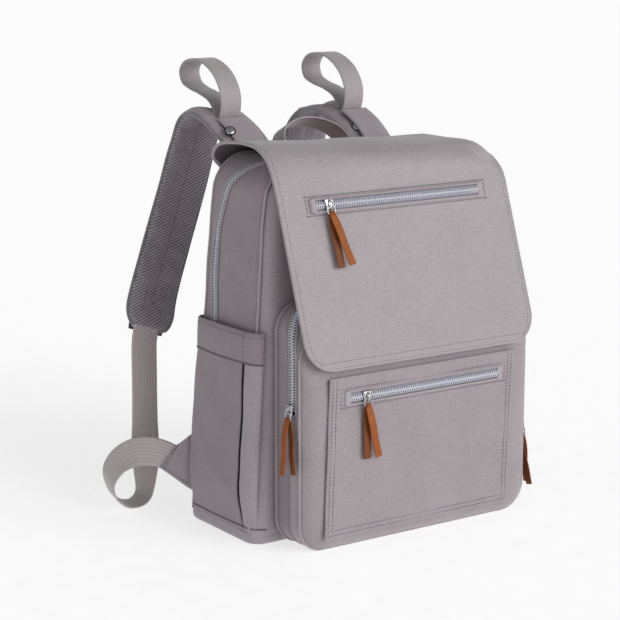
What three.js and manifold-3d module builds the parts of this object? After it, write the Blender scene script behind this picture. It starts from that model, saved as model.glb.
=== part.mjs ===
// Diaper backpack: a soft rucksack with a zipped main compartment, a fold-over flap, a zipped
// front pocket, two side pockets, padded shoulder straps and stroller loops.
// Millimetres, +Z up, front towards -Y, origin in the middle of the underside.

import * as THREE from 'three';
import { mergeVertices } from 'three/addons/utils/BufferGeometryUtils.js';
import Module from 'manifold-3d';

const wasm = await Module();
wasm.setup();

// ---- driving dimensions --------------------------------------------------------------------

const GAP = 0.4;                 // clearance between sewn neighbours
const FABRIC = 3;                // padded wall
const TAPE = 1.4;                // zip tape with its teeth

const BODY_HEIGHT = 375;
const BODY_HALF_LOW = 165;       // half width at the base
const BODY_HALF_HIGH = 142;      // half width at the top
const BODY_FRONT = -50;
const BODY_BACK_LOW = 76;
const BODY_BACK_HIGH = 58;
const BASE_HEIGHT = 12;
const FOLD_HEIGHT = 256;         // the opened front folds here, just above the front pocket
const ZIP_START = 206;           // lower ends of the main zip
const FRONT_SEAM = -40;
const BACK_SEAM_INSET = 12;

const POCKET_FRONT = -106;
const POCKET_HALF = 140;
const POCKET_TOP = 241;
const POCKET_WALL = 2.5;
const POCKET_ZIP_Y = -85;
const POCKET_FOLD_LEFT = 138;    // lower ends of the front pocket's zip: the right one is lower
const POCKET_FOLD_RIGHT = 78;

const FLAP_HALF = 139;
const FLAP_THICK = 3;
const FLAP_HEM = 185;
const FLAP_CORNER = 28;

const SIDE_POCKET_TOP = 212;
const SIDE_POCKET_BAND = 183;
const SIDE_POCKET_DEPTH = 8.5;
const SIDE_POCKET_WALL = 2;

const PAD_WIDTH = 58;
const PAD_THICK = 12;
const WEB_WIDTH = 30;
const WEB_THICK = 2;
const LOOP_WIDTH = 25;
const LEATHER_WIDTH = 9;
const LEATHER_LENGTH = 56;

const FRONT_SLASH = { z: 333, half: 103 };   // zip on the flap
const PATCH_SLASH = { z: 153, half: 95 };    // zip on the front pocket's patch

const CLOTH = '#9c9296';
const CLOTH_DARK = '#8a8085';
const MESH_CLOTH = '#7d757b';
const WEBBING = '#a39a9b';
const ZIP_GREY = '#a9abb8';
const METAL = '#9a9a9c';
const LEATHER = '#9a5a2c';
const BOARD = '#55525a';

// ---- solids --------------------------------------------------------------------------------

function solidOf(geometry) {
  const bare = geometry.clone();
  bare.deleteAttribute('normal');
  bare.deleteAttribute('uv');
  const merged = mergeVertices(bare, 1e-4);
  return new wasm.Manifold(new wasm.Mesh({
    numProp: 3,
    vertProperties: new Float32Array(merged.attributes.position.array),
    triVerts: new Uint32Array(merged.index.array),
  }));
}

function geometryOf(solid) {
  const mesh = solid.getMesh();
  const geometry = new THREE.BufferGeometry();
  geometry.setAttribute('position', new THREE.BufferAttribute(mesh.vertProperties, 3));
  geometry.setIndex(new THREE.BufferAttribute(mesh.triVerts, 1));
  geometry.computeVertexNormals();
  return geometry;
}

function box(low, high) {
  const size = high.map((value, axis) => value - low[axis]);
  const geometry = new THREE.BoxGeometry(...size);
  geometry.translate(...low.map((value, axis) => value + size[axis] / 2));
  return solidOf(geometry);
}

// A prism whose outline is drawn in the side view, as [y, z] points, and that runs along X.
function sidePrism(points, x0, x1) {
  const outline = new THREE.Shape(points.map(([y, z]) => new THREE.Vector2(y, z)));
  const geometry = new THREE.ExtrudeGeometry(outline, { depth: x1 - x0, bevelEnabled: false });
  const turn = new THREE.Matrix4().set(0, 0, 1, x0, 1, 0, 0, 0, 0, 1, 0, 0, 0, 0, 0, 1);
  return solidOf(geometry.applyMatrix4(turn));
}

// A prism whose outline is a Shape in the front view (x, z) and that runs along Y.
function frontPrism(outline, y0, y1, segments = 8) {
  const options = { depth: y1 - y0, bevelEnabled: false, curveSegments: segments };
  const geometry = new THREE.ExtrudeGeometry(outline, options);
  const turn = new THREE.Matrix4().set(1, 0, 0, 0, 0, 0, -1, y1, 0, 1, 0, 0, 0, 0, 0, 1);
  return solidOf(geometry.applyMatrix4(turn));
}

// A loft through rounded rectangles: each level has h, x0, x1, v0, v1 and a corner radius r.
function loft(levels, cornerSteps = 4) {
  const ring = 4 * (cornerSteps + 1);
  const geometry = new THREE.CylinderGeometry(1, 1, 1, ring, levels.length - 1);
  geometry.deleteAttribute('normal');
  geometry.deleteAttribute('uv');
  const merged = mergeVertices(geometry, 1e-4);
  const position = merged.attributes.position;
  for (let i = 0; i < position.count; i += 1) {
    const level = levels[Math.round((position.getY(i) + 0.5) * (levels.length - 1))];
    const radius = Math.hypot(position.getX(i), position.getZ(i));
    if (radius < 0.5) {
      position.setXYZ(i, (level.x0 + level.x1) / 2, (level.v0 + level.v1) / 2, level.h);
      continue;
    }
    const turn = Math.atan2(position.getX(i), position.getZ(i)) / (2 * Math.PI);
    const index = Math.round(((turn + 1) % 1) * ring) % ring;
    const corner = Math.floor(index / (cornerSteps + 1));
    const angle = (corner - 1 + (index % (cornerSteps + 1)) / cornerSteps) * (Math.PI / 2);
    const right = corner === 0 || corner === 1;
    const rear = corner === 1 || corner === 2;
    const x = right ? level.x1 - level.r : level.x0 + level.r;
    const v = rear ? level.v1 - level.r : level.v0 + level.r;
    position.setXYZ(i, x + level.r * Math.cos(angle), v + level.r * Math.sin(angle), level.h);
  }
  return solidOf(merged);
}

// A flat band along a smooth path: its width lies along `across`, turned square to the path.
function band(points, across, width, thickness, steps, widthAt = () => 1) {
  const curve = new THREE.CatmullRomCurve3(points.map((p) => new THREE.Vector3(...p)));
  const sides = Array.isArray(across[0]) ? across : [across, across];
  const turn = new THREE.CatmullRomCurve3(sides.map((side) => new THREE.Vector3(...side)));
  const geometry = new THREE.BoxGeometry(1, 1, 1, 1, 1, steps);
  geometry.deleteAttribute('normal');
  geometry.deleteAttribute('uv');
  const merged = mergeVertices(geometry, 1e-4);
  const position = merged.attributes.position;
  for (let i = 0; i < position.count; i += 1) {
    const t = THREE.MathUtils.clamp(position.getZ(i) + 0.5, 0, 1);
    const tangent = curve.getTangentAt(t);
    const side = turn.getPoint(t);
    side.addScaledVector(tangent, -side.dot(tangent)).normalize();
    const normal = tangent.clone().cross(side);
    const point = curve.getPointAt(t);
    point.addScaledVector(side, position.getX(i) * width * widthAt(t));
    point.addScaledVector(normal, position.getY(i) * thickness);
    position.setXYZ(i, point.x, point.y, point.z);
  }
  return solidOf(merged);
}

const part = new THREE.Group();

function add(name, solid, colour, roughness = 0.9, metalness = 0, parent = part) {
  const material = new THREE.MeshStandardMaterial({ color: colour, roughness, metalness });
  const mesh = new THREE.Mesh(geometryOf(solid), material);
  mesh.name = name;
  parent.add(mesh);
  return mesh;
}

// ---- main compartment ----------------------------------------------------------------------

const TOP_ROUND = 36;            // shoulder radius in the front view
const TOP_ROUND_FRONT = 26;
const TOP_ROUND_BACK = 16;
const BASE_ROUND = 5;
const CORNER = 16;               // upright corner radius

function bodyHalfWidth(z) {
  return THREE.MathUtils.lerp(BODY_HALF_LOW, BODY_HALF_HIGH, z / BODY_HEIGHT);
}

function bodyBack(z) {
  return THREE.MathUtils.lerp(BODY_BACK_LOW, BODY_BACK_HIGH, z / BODY_HEIGHT);
}

function bodySolid(offset) {
  const levels = [];
  const addLevel = (z, h, inset, frontInset, backInset) => {
    const half = bodyHalfWidth(z) - inset + offset;
    levels.push({
      h,
      x0: -half,
      x1: half,
      v0: BODY_FRONT + frontInset - offset,
      v1: bodyBack(z) - backInset + offset,
      r: Math.max(CORNER - 0.6 * inset + offset, 6),
    });
  };
  addLevel(0, -offset, BASE_ROUND, BASE_ROUND, BASE_ROUND);
  addLevel(BASE_ROUND, BASE_ROUND, 0, 0, 0);
  addLevel(BODY_HEIGHT / 2, BODY_HEIGHT / 2, 0, 0, 0);
  const shoulder = BODY_HEIGHT - TOP_ROUND;
  for (let step = 0; step <= 5; step += 1) {
    const angle = (step / 5) * (Math.PI / 2) * 0.94;
    const drop = 1 - Math.cos(angle);
    const z = shoulder + TOP_ROUND * Math.sin(angle);
    const h = step === 5 ? BODY_HEIGHT + offset : z + offset * Math.sin(angle);
    addLevel(z, h, TOP_ROUND * drop, TOP_ROUND_FRONT * drop, TOP_ROUND_BACK * drop);
  }
  return loft(levels);
}

const bodyOuter = bodySolid(0);
const bodyShell = bodyOuter.subtract(bodySolid(-FABRIC));
const bodyTapeShell = bodySolid(-0.5).subtract(bodySolid(-0.5 - TAPE));
const bodyKeepOut = bodySolid(GAP);

// The main zip in the side view: up each side, forward over the shoulder and across the top.
const zipRun = new THREE.CatmullRomCurve3([
  [31, ZIP_START - 30], [35, 240], [34, 290], [28, 321],
  [17, 347], [0, 365], [-22, 377], [-50, 388],
].map(([y, z]) => new THREE.Vector3(0, y, z)));

// Everything in front of the zip line, with the line itself moved back by `shift`.
function inFrontOfZip(shift) {
  const points = [[-150, 450], [-150, ZIP_START - 30]];
  for (let step = 0; step <= 24; step += 1) {
    const t = step / 24;
    const point = zipRun.getPointAt(t);
    const tangent = zipRun.getTangentAt(t);
    points.push([point.y + tangent.z * shift, point.z - tangent.y * shift]);
  }
  points.push([points[points.length - 1][0], 450]);
  return sidePrism(points, -200, 200);
}

const behindSeam = sidePrism([
  [BODY_BACK_LOW - BACK_SEAM_INSET, -5],
  [200, -5],
  [200, BODY_HEIGHT - 12],
  [BODY_BACK_HIGH - BACK_SEAM_INSET, BODY_HEIGHT - 12],
], -200, 200);
const behindSeamWide = sidePrism([
  [BODY_BACK_LOW - BACK_SEAM_INSET - GAP, -5],
  [200, -5],
  [200, BODY_HEIGHT - 12 + GAP],
  [BODY_BACK_HIGH - BACK_SEAM_INSET - GAP, BODY_HEIGHT - 12 + GAP],
], -200, 200);

const aboveBase = box([-200, -200, BASE_HEIGHT + GAP], [200, 200, 500]);
const belowFold = box([-200, -200, -10], [200, 200, FOLD_HEIGHT - GAP / 2]);
const aboveFold = box([-200, -200, FOLD_HEIGHT + GAP / 2], [200, 200, 500]);
const aheadOfFrontSeam = box([-200, -200, -10], [200, FRONT_SEAM - GAP / 2, 500]);
const behindFrontSeam = box([-200, FRONT_SEAM + GAP / 2, -10], [200, 200, 500]);
const aboveZipStart = box([-200, -200, ZIP_START + GAP], [200, 200, 500]);
const tapeBand = inFrontOfZip(5).subtract(inFrontOfZip(-5));
const leftHalf = box([-400, -400, -10], [0, 400, 600]);
const rightHalf = box([0, -400, -10], [400, 400, 600]);

add('base_panel', bodyShell.intersect(box([-200, -200, -10], [200, 200, BASE_HEIGHT])), CLOTH_DARK);
add('back_panel', bodyShell.intersect(aboveBase).intersect(behindSeam), CLOTH_DARK);
add(
  'front_panel_lower',
  bodyShell.intersect(aboveBase).intersect(belowFold).intersect(aheadOfFrontSeam),
  CLOTH,
);

// Below the zip's ends the side wall is whole; above them only its part in front of the zip stays.
const sideZone = box([-200, -200, -10], [200, 200, ZIP_START])
  .add(inFrontOfZip(-5 - GAP).intersect(belowFold));
const sideWalls = bodyShell.intersect(aboveBase).intersect(behindFrontSeam).intersect(sideZone)
  .subtract(behindSeamWide);
add('left_side_panel', sideWalls.intersect(leftHalf), CLOTH_DARK);
add('right_side_panel', sideWalls.intersect(rightHalf), CLOTH_DARK);

add(
  'rear_gusset',
  bodyShell.intersect(aboveZipStart).subtract(inFrontOfZip(5 + GAP)).subtract(behindSeamWide),
  CLOTH,
);
const rearTapeZone = tapeBand.intersect(aboveZipStart)
  .subtract(inFrontOfZip(-GAP / 2).intersect(aboveFold.translate([0, 0, -GAP])));
add('main_zip_rear', bodyTapeShell.intersect(rearTapeZone), ZIP_GREY, 0.5);

add(
  'main_zip_front',
  bodyTapeShell.intersect(tapeBand).intersect(aboveFold).intersect(inFrontOfZip(-GAP)),
  ZIP_GREY,
  0.5,
);
const frontGussetZone = aboveFold.intersect(behindFrontSeam).intersect(inFrontOfZip(-5 - GAP));
add('front_gusset', bodyShell.intersect(frontGussetZone), CLOTH);
add('front_panel_upper', bodyShell.intersect(aboveFold).intersect(aheadOfFrontSeam), CLOTH);

// Stiffening inside: a board on the base and a foam sheet against the back.
add('base_board', box([-140, -38, 3.5], [140, 60, 5.5]), BOARD);
const foamLean = Math.atan((BODY_BACK_LOW - BODY_BACK_HIGH) / BODY_HEIGHT);
const foamGeometry = new THREE.BoxGeometry(215, 4, 316);
foamGeometry.rotateX(foamLean);
foamGeometry.translate(0, bodyBack(172) - FABRIC - GAP - 2.4, 172);
add('back_foam', solidOf(foamGeometry), BOARD);

// ---- front pocket --------------------------------------------------------------------------

// Rounded rectangles from the bag's front outwards: distance, half width, bottom, top, corner.
const POCKET_LEVELS = [
  [45, POCKET_HALF, 1, POCKET_TOP, 28],
  [72, 141, 1, POCKET_TOP, 28],
  [84, 141, 1, 235, 28],
  [91, 138.5, 2, 223, 27],
  [97, 134, 4, 205, 25],
  [102, 128, 8, 186, 22],
  [-POCKET_FRONT, 119, 15, 168, 17],
];

function pocketSolid(inset) {
  const levels = POCKET_LEVELS.map(([h, half, z0, z1, r], index) => ({
    h: index === 0 ? h - inset * 2 : h - inset,
    x0: inset - half,
    x1: half - inset,
    v0: z0 + inset,
    v1: z1 - inset,
    r: Math.max(r - inset, 2),
  }));
  return loft(levels).rotate([90, 0, 0]);
}

const pocketShell = pocketSolid(0).subtract(pocketSolid(POCKET_WALL)).subtract(bodyKeepOut);
const pocketTapeShell = pocketSolid(0.4).subtract(pocketSolid(0.4 + TAPE)).subtract(bodyKeepOut);

// The pocket's zip in the side view stands upright and leans back over the top.
function pocketZipFront(shift) {
  const y = POCKET_ZIP_Y + shift;
  const points = [[y, -12], [y, 203], [y + 3, 218], [y + 11, 234], [y + 24, 270]];
  return sidePrism([[-200, -12], ...points, [-200, 270]], -200, 200);
}

// The front folds along the straight line between the zip's two lower ends.
function pocketFold(x, shift) {
  const share = (x + POCKET_HALF) / (2 * POCKET_HALF);
  return THREE.MathUtils.lerp(POCKET_FOLD_LEFT, POCKET_FOLD_RIGHT, share) + shift;
}

function foldZone(shift, farZ) {
  const outline = new THREE.Shape([
    new THREE.Vector2(-200, pocketFold(-200, shift)),
    new THREE.Vector2(200, pocketFold(200, shift)),
    new THREE.Vector2(200, farZ),
    new THREE.Vector2(-200, farZ),
  ]);
  return frontPrism(outline, -200, 0);
}

const abovePocketFold = foldZone(GAP / 2, 400);
const belowPocketFold = foldZone(-GAP / 2, -10);
const pocketBehind = box([-200, -200, -10], [200, 0, 400]).subtract(pocketZipFront(4 + GAP))
  .add(foldZone(-GAP, -10).intersect(box([-200, POCKET_ZIP_Y - 4, -10], [200, 0, 400])));
add('pocket_gusset', pocketShell.intersect(pocketBehind), CLOTH_DARK);
add(
  'pocket_zip_rear',
  pocketTapeShell.intersect(pocketZipFront(4).subtract(pocketZipFront(GAP / 2)))
    .intersect(abovePocketFold),
  ZIP_GREY,
  0.5,
);
const pocketFrontFace = pocketShell.intersect(pocketZipFront(-4 - GAP));
add('pocket_front_lower', pocketFrontFace.intersect(belowPocketFold), CLOTH);
add('pocket_front_upper', pocketFrontFace.intersect(abovePocketFold), CLOTH);
add(
  'pocket_zip_front',
  pocketTapeShell.intersect(pocketZipFront(-GAP / 2).subtract(pocketZipFront(-4)))
    .intersect(abovePocketFold),
  ZIP_GREY,
  0.5,
);

// The stitched patch on the pocket's front is in two parts, because the front folds across it.
const PATCH_THICK = 1;
const PATCH_BACK = POCKET_FRONT - GAP;
const PATCH_FACE = PATCH_BACK - PATCH_THICK;
const PATCH_HALF = 114;
const patch = box([-PATCH_HALF, PATCH_FACE, 15], [PATCH_HALF, PATCH_BACK, 174]);
add('patch_lower', patch.intersect(belowPocketFold), CLOTH);
add('patch_upper', patch.intersect(abovePocketFold), CLOTH);

const SLASH_HEIGHT = 14;
function slashTape(half) {
  return box([-half, -TAPE, -SLASH_HEIGHT / 2], [half, 0, SLASH_HEIGHT / 2]);
}

const patchSlash = new THREE.Group();
patchSlash.position.set(0, PATCH_FACE - 0.3, PATCH_SLASH.z);
part.add(patchSlash);
add('patch_zip', slashTape(PATCH_SLASH.half), ZIP_GREY, 0.5, 0, patchSlash);

// ---- flap ----------------------------------------------------------------------------------

const FLAP_SPLIT = [-37, 378.5];
const FLAP_SLOPE = 0.346;
const flapFrontY = (z) => -54.5 - FLAP_SLOPE * (350 - z);

const rootPath = [[0, 61.5, 352], [0, 61, 364], [0, 58.5, 374], [0, 53, 381.5]];
add('flap_root', band(rootPath, [1, 0, 0], 2 * FLAP_HALF, FLAP_THICK, 6), CLOTH);
const crownPath = [[0, 52, 382.3], [0, 44, 385.5], [0, 20, 388.5], [0, -4, 389], [0, -22, 386],
  [0, -36, 379.5]];
add('flap_crown', band(crownPath, [1, 0, 0], 2 * FLAP_HALF, FLAP_THICK, 14), CLOTH);

const cornerX = FLAP_HALF - FLAP_CORNER;
const cornerZ = FLAP_HEM + FLAP_CORNER;
const flapOutline = new THREE.Shape();
flapOutline.moveTo(-FLAP_HALF, 400);
flapOutline.lineTo(-FLAP_HALF, cornerZ);
flapOutline.absarc(-cornerX, cornerZ, FLAP_CORNER, Math.PI, 1.5 * Math.PI);
flapOutline.absarc(cornerX, cornerZ, FLAP_CORNER, 1.5 * Math.PI, 2 * Math.PI);
flapOutline.lineTo(FLAP_HALF, 400);
const frontPath = [[0, FLAP_SPLIT[0] - 0.2, FLAP_SPLIT[1]], [0, -46, 369.5], [0, flapFrontY(350), 350]];
for (const z of [310, 250, FLAP_HEM - 4]) {
  frontPath.push([0, flapFrontY(z), z]);
}
const flapFront = band(frontPath, [1, 0, 0], 2 * FLAP_HALF, FLAP_THICK, 14)
  .intersect(frontPrism(flapOutline, -160, 0));
add('flap_front', flapFront, CLOTH);

const flapSlash = new THREE.Group();
const slopeAngle = Math.atan(FLAP_SLOPE);
const slashLift = (FLAP_THICK / 2 + 0.4) / Math.cos(slopeAngle);
flapSlash.position.set(0, flapFrontY(FRONT_SLASH.z) - slashLift, FRONT_SLASH.z);
flapSlash.rotation.x = -slopeAngle;
part.add(flapSlash);
add('flap_zip', slashTape(FRONT_SLASH.half), ZIP_GREY, 0.5, 0, flapSlash);

// ---- zip sliders and pulls -----------------------------------------------------------------

// A slider stands on a face whose normal is -Y; its wire ring hangs from a bridge and holds a
// folded strip of leather. The slider's foot is `lift` off the group's origin.
const EYE = [-3.1, -2.5];        // where the ring passes through the bridge, as y and z
const RING_WIDTH = 8.4;
const RING_LENGTH = 7;
const RING_WIRE = 1;

function sliderSolid() {
  const plate = box([-4, -2.2, -5], [4, 0, 5]);
  const bridge = box([-1.4, -4.6, -6], [1.4, -2, 4]);
  const eye = box([-3, EYE[0] - 0.85, EYE[1] - 1.2], [3, EYE[0] + 0.85, EYE[1] + 1.2]);
  return plate.add(bridge).subtract(eye);
}

function ringSolid() {
  const half = RING_WIRE / 2;
  const [y, z] = EYE;
  const edge = RING_WIDTH / 2;
  const frame = box([-edge, y - half, z - RING_LENGTH - half], [edge, y + half, z + half]);
  const inside = edge - RING_WIRE;
  const hole = box([-inside, y - 2, z - RING_LENGTH + half], [inside, y + 2, z - half]);
  return frame.subtract(hole);
}

function leatherSolid() {
  const barZ = EYE[1] - RING_LENGTH;
  const neck = RING_WIDTH / 2 - RING_WIRE - GAP;
  const outer = 2.8;
  const inner = 1.1;
  const outline = new THREE.Shape();
  outline.moveTo(-outer, 0);
  outline.absarc(0, 0, outer, Math.PI, 0, true);
  outline.lineTo(2.1, -LEATHER_LENGTH);
  outline.lineTo(0.3, -LEATHER_LENGTH + 2);
  outline.lineTo(inner, -4);
  outline.lineTo(inner, 0);
  outline.absarc(0, 0, inner, 0, Math.PI, false);
  outline.lineTo(-inner, -4);
  outline.lineTo(-0.3, -LEATHER_LENGTH + 2);
  outline.lineTo(-2.1, -LEATHER_LENGTH);
  const geometry = new THREE.ExtrudeGeometry(outline, {
    depth: LEATHER_WIDTH, bevelEnabled: false, curveSegments: 6,
  });
  const turn = new THREE.Matrix4().set(
    0, 0, 1, -LEATHER_WIDTH / 2,
    1, 0, 0, EYE[0],
    0, 1, 0, barZ,
    0, 0, 0, 1,
  );
  const shoulders = box([neck, -20, barZ - 1.5], [20, 20, barZ + 10]);
  const strip = solidOf(geometry.applyMatrix4(turn));
  return strip.subtract(shoulders).subtract(shoulders.mirror([1, 0, 0]));
}

function addPull(name, parent, x, z, lift) {
  const group = new THREE.Group();
  group.position.set(x, -lift, z);
  parent.add(group);
  add(`${name}_slider`, sliderSolid(), METAL, 0.35, 0.9, group);
  const ring = ringSolid();
  add(`${name}_ring`, ring, METAL, 0.35, 0.9, group);
  add(`${name}_leather`, leatherSolid(), LEATHER, 0.7, 0, group);
}

addPull('flap_pull', flapSlash, -FRONT_SLASH.half + 17, 0, TAPE + 0.3);
addPull('patch_pull', patchSlash, -PATCH_SLASH.half + 22, 0, TAPE + 0.3);

// The front pocket's zip has a slider at each lower end, on the pocket's sides.
const SIDE_PULL_X = 142.2;
for (const [name, side] of [['left_pocket_pull', -1], ['right_pocket_pull', 1]]) {
  const face = new THREE.Group();
  face.position.set(side * SIDE_PULL_X, POCKET_ZIP_Y, pocketFold(side * POCKET_HALF, 6));
  face.rotation.z = side * Math.PI / 2;
  part.add(face);
  addPull(name, face, 0, 0, 0);
}

// The main zip's two sliders meet in the middle of the top, under the flap.
for (const [name, side] of [['left_main', -1], ['right_main', 1]]) {
  const group = new THREE.Group();
  group.position.set(side * 9, -19, BODY_HEIGHT + 0.4);
  part.add(group);
  add(`${name}_slider`, box([-5, -4, 0], [5, 4, 3]), METAL, 0.35, 0.9, group);
  const tab = box([5.5, -4, 0.6], [38, 4, 2.2]);
  add(`${name}_tab`, side < 0 ? tab.mirror([1, 0, 0]) : tab, LEATHER, 0.7, 0, group);
}

// ---- side pockets --------------------------------------------------------------------------

const SIDE_POCKET_FRONT = -46;
const SIDE_POCKET_REAR = 72;
const SIDE_POCKET_FLOOR = 19;
const pocketOuter = bodySolid(SIDE_POCKET_DEPTH);
const pocketInner = bodySolid(SIDE_POCKET_DEPTH - SIDE_POCKET_WALL);
const rearLean = (z, inset) => bodyBack(z) - BODY_BACK_LOW + SIDE_POCKET_REAR - inset;

function sidePocketZone(inset, z0, z1) {
  return sidePrism([
    [SIDE_POCKET_FRONT + inset, z0],
    [rearLean(z0, inset), z0],
    [rearLean(z1, inset), z1],
    [SIDE_POCKET_FRONT + inset, z1],
  ], -200, 200);
}

const sidePocket = pocketOuter.subtract(bodyKeepOut)
  .intersect(sidePocketZone(0, SIDE_POCKET_FLOOR, SIDE_POCKET_TOP))
  .subtract(pocketInner.intersect(sidePocketZone(2, SIDE_POCKET_FLOOR + 2, SIDE_POCKET_TOP + 5)));
const HAND_SLIT_Y = -30;
const handSlit = box([-200, HAND_SLIT_Y - 1.5, 30], [200, HAND_SLIT_Y + 1.5, 176]);
const pouch = sidePocket.intersect(box([-200, -200, 0], [200, 200, SIDE_POCKET_BAND - GAP / 2]))
  .subtract(handSlit);
const hemBand = sidePocket.intersect(box([-200, -200, SIDE_POCKET_BAND + GAP / 2], [200, 200, 400]));
for (const [name, half] of [['left', leftHalf], ['right', rightHalf]]) {
  add(`${name}_side_pocket`, pouch.intersect(half), CLOTH_DARK);
  add(`${name}_pocket_band`, hemBand.intersect(half), CLOTH_DARK);
}

// ---- straps --------------------------------------------------------------------------------

const yoke = new THREE.BoxGeometry(2 * 112, 3, 40);
yoke.rotateX(foamLean);
yoke.translate(0, bodyBack(326) + 2.1, 326);
add('strap_yoke', solidOf(yoke), CLOTH_DARK);

// Routes of the left and right shoulder straps, from the yoke over the top to the lower ends.
const LEFT_PAD = [[-73, 71, 346], [-74, 84, 366], [-76, 105, 382], [-79, 130, 394],
  [-83, 154, 401], [-86, 172, 393], [-92, 182, 362], [-104, 183, 320],
  [-126, 180, 259], [-146, 173, 208], [-157, 163, 180]];
const RIGHT_PAD = [[73, 71, 346], [74, 84, 366], [76, 106, 382], [78, 132, 392],
  [79, 158, 398], [78, 184, 396], [77, 207, 378], [79, 220, 342],
  [86, 220, 290], [98, 207, 240], [116, 186, 200], [128, 172, 178]];
const LEFT_WEB = [[-163.5, 160, 169], [-168, 154, 130], [-171, 151, 95], [-174, 148, 55],
  [-177, 145, 24], [-184, 140, 9], [-198, 136, 4.5], [-213, 138, 7],
  [-222, 141, 20], [-225, 142, 38], [-218, 138, 56], [-203, 128, 68],
  [-190, 114, 68], [-180, 101, 61]];
const RIGHT_WEB = [[131, 167, 168], [140, 158, 130], [149, 152, 95], [156, 149, 60],
  [163, 147, 30], [172, 144, 13], [186, 139, 7], [200, 137, 9],
  [209, 138, 22], [209, 136, 40], [203, 130, 55], [193, 119, 64],
  [186, 109, 63], [180, 101, 61]];
const padTaper = (t) => Math.min(1, 0.55 + 14 * Math.min(t, 1 - t));

const STRAPS = [['left', -1, LEFT_PAD, LEFT_WEB], ['right', 1, RIGHT_PAD, RIGHT_WEB]];

for (const [name, side, pad, web] of STRAPS) {
  add(`${name}_strap_pad`, band(pad, [1, 0, 0], PAD_WIDTH, PAD_THICK, 34, padTaper), MESH_CLOTH);
  const twist = [[1, 0, 0], [1, 0, 0], [0.9, -0.3 * side, 0], [0.5, -0.8 * side, 0],
    [0.3, -side, 0.2], [0.4, -side, 0.4], [0.5, 0.2, 1]];
  add(`${name}_webbing`, band(web, twist, WEB_WIDTH, WEB_THICK, 52), WEBBING);
  const tab = new THREE.Shape([
    new THREE.Vector2(0, -28),
    new THREE.Vector2(22, -2),
    new THREE.Vector2(22, 4),
    new THREE.Vector2(0, 28),
  ]);
  const tabGeometry = new THREE.ExtrudeGeometry(tab, { depth: 2.4, bevelEnabled: false });
  tabGeometry.rotateX(Math.PI / 2);
  tabGeometry.rotateZ(side > 0 ? Math.atan2(26, 22) : Math.PI - Math.atan2(26, 22));
  tabGeometry.translate(side * 159, 77, 56);
  add(`${name}_anchor_tab`, solidOf(tabGeometry), CLOTH_DARK);
}

// ---- stroller loops and handle -------------------------------------------------------------

const LOOP_TAB = [[71, 365], [80, 375.5], [96, 388], [110, 395.5], [122, 400.5]];
const LEFT_LOOP = [[123, 403], [140, 425], [158, 445], [176, 455], [196, 453],
  [205, 442], [199, 430], [180, 424], [158, 417], [136, 404]];
const RIGHT_LOOP = [[123, 403], [142, 425], [162, 445], [182, 455], [198, 451],
  [205, 440], [200, 428], [182, 422], [160, 414], [136, 403]];
const SNAP_LEAN = THREE.MathUtils.degToRad(126);

for (const [name, x, loop] of [['left', -78, LEFT_LOOP], ['right', 78, RIGHT_LOOP]]) {
  const place = ([y, z]) => [x, y, z];
  add(`${name}_loop_tab`, band(LOOP_TAB.map(place), [1, 0, 0], 34, 2.4, 8), CLOTH);
  add(`${name}_stroller_loop`, band(loop.map(place), [1, 0, 0], LOOP_WIDTH, 1.6, 34), WEBBING);
  const snap = new THREE.CylinderGeometry(4.6, 5.4, 2, 20);
  snap.rotateX(SNAP_LEAN);
  snap.translate(x - 23, 99, 388);
  add(`${name}_snap`, solidOf(snap), METAL, 0.3, 0.9);
}

const HANDLE_SIDE = [[42, 78, 352], [42, 86, 366], [35, 99, 382], [18, 107, 391]];
const HANDLE = [
  ...HANDLE_SIDE.map(([x, y, z]) => [-x, y, z]),
  [0, 109.5, 394],
  ...HANDLE_SIDE.toReversed(),
];
add('handle', band(HANDLE, [0, 0.9, -0.44], LOOP_WIDTH, 2.4, 30), WEBBING);

export default part;
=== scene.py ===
import math

import bmesh
import bpy
import numpy as np
from mathutils import Matrix, Vector
from mathutils.bvhtree import BVHTree


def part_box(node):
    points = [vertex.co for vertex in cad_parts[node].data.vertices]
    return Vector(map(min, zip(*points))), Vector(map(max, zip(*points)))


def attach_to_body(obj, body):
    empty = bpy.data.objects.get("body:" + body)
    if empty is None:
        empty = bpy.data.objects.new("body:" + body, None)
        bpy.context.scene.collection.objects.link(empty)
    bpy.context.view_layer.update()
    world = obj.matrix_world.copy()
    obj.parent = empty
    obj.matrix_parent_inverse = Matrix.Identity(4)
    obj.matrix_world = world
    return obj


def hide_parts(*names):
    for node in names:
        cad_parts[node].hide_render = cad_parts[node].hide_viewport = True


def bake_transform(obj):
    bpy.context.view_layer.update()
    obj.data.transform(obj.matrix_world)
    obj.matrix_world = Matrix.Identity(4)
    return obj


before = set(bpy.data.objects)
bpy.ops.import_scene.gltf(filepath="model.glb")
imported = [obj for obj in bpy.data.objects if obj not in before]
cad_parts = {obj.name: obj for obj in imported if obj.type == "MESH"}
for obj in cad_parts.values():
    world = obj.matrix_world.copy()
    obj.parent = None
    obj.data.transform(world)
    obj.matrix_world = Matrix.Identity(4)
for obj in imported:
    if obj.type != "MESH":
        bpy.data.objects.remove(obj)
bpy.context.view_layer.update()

MM = 0.001
SCENE = bpy.context.scene

# ---- camera, floor and light ---------------------------------------------------------------


def add_camera():
    data = bpy.data.cameras.new("camera")
    data.sensor_width = 36
    data.lens = 112.2
    camera = bpy.data.objects.new("camera", data)
    SCENE.collection.objects.link(camera)
    camera.location = (-1.1415, -1.5648, 0.6132)
    aim = Vector((-0.0427, 0.0295, 0.2098)) - camera.location
    camera.rotation_euler = aim.to_track_quat("-Z", "Y").to_euler()
    SCENE.camera = camera


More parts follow.
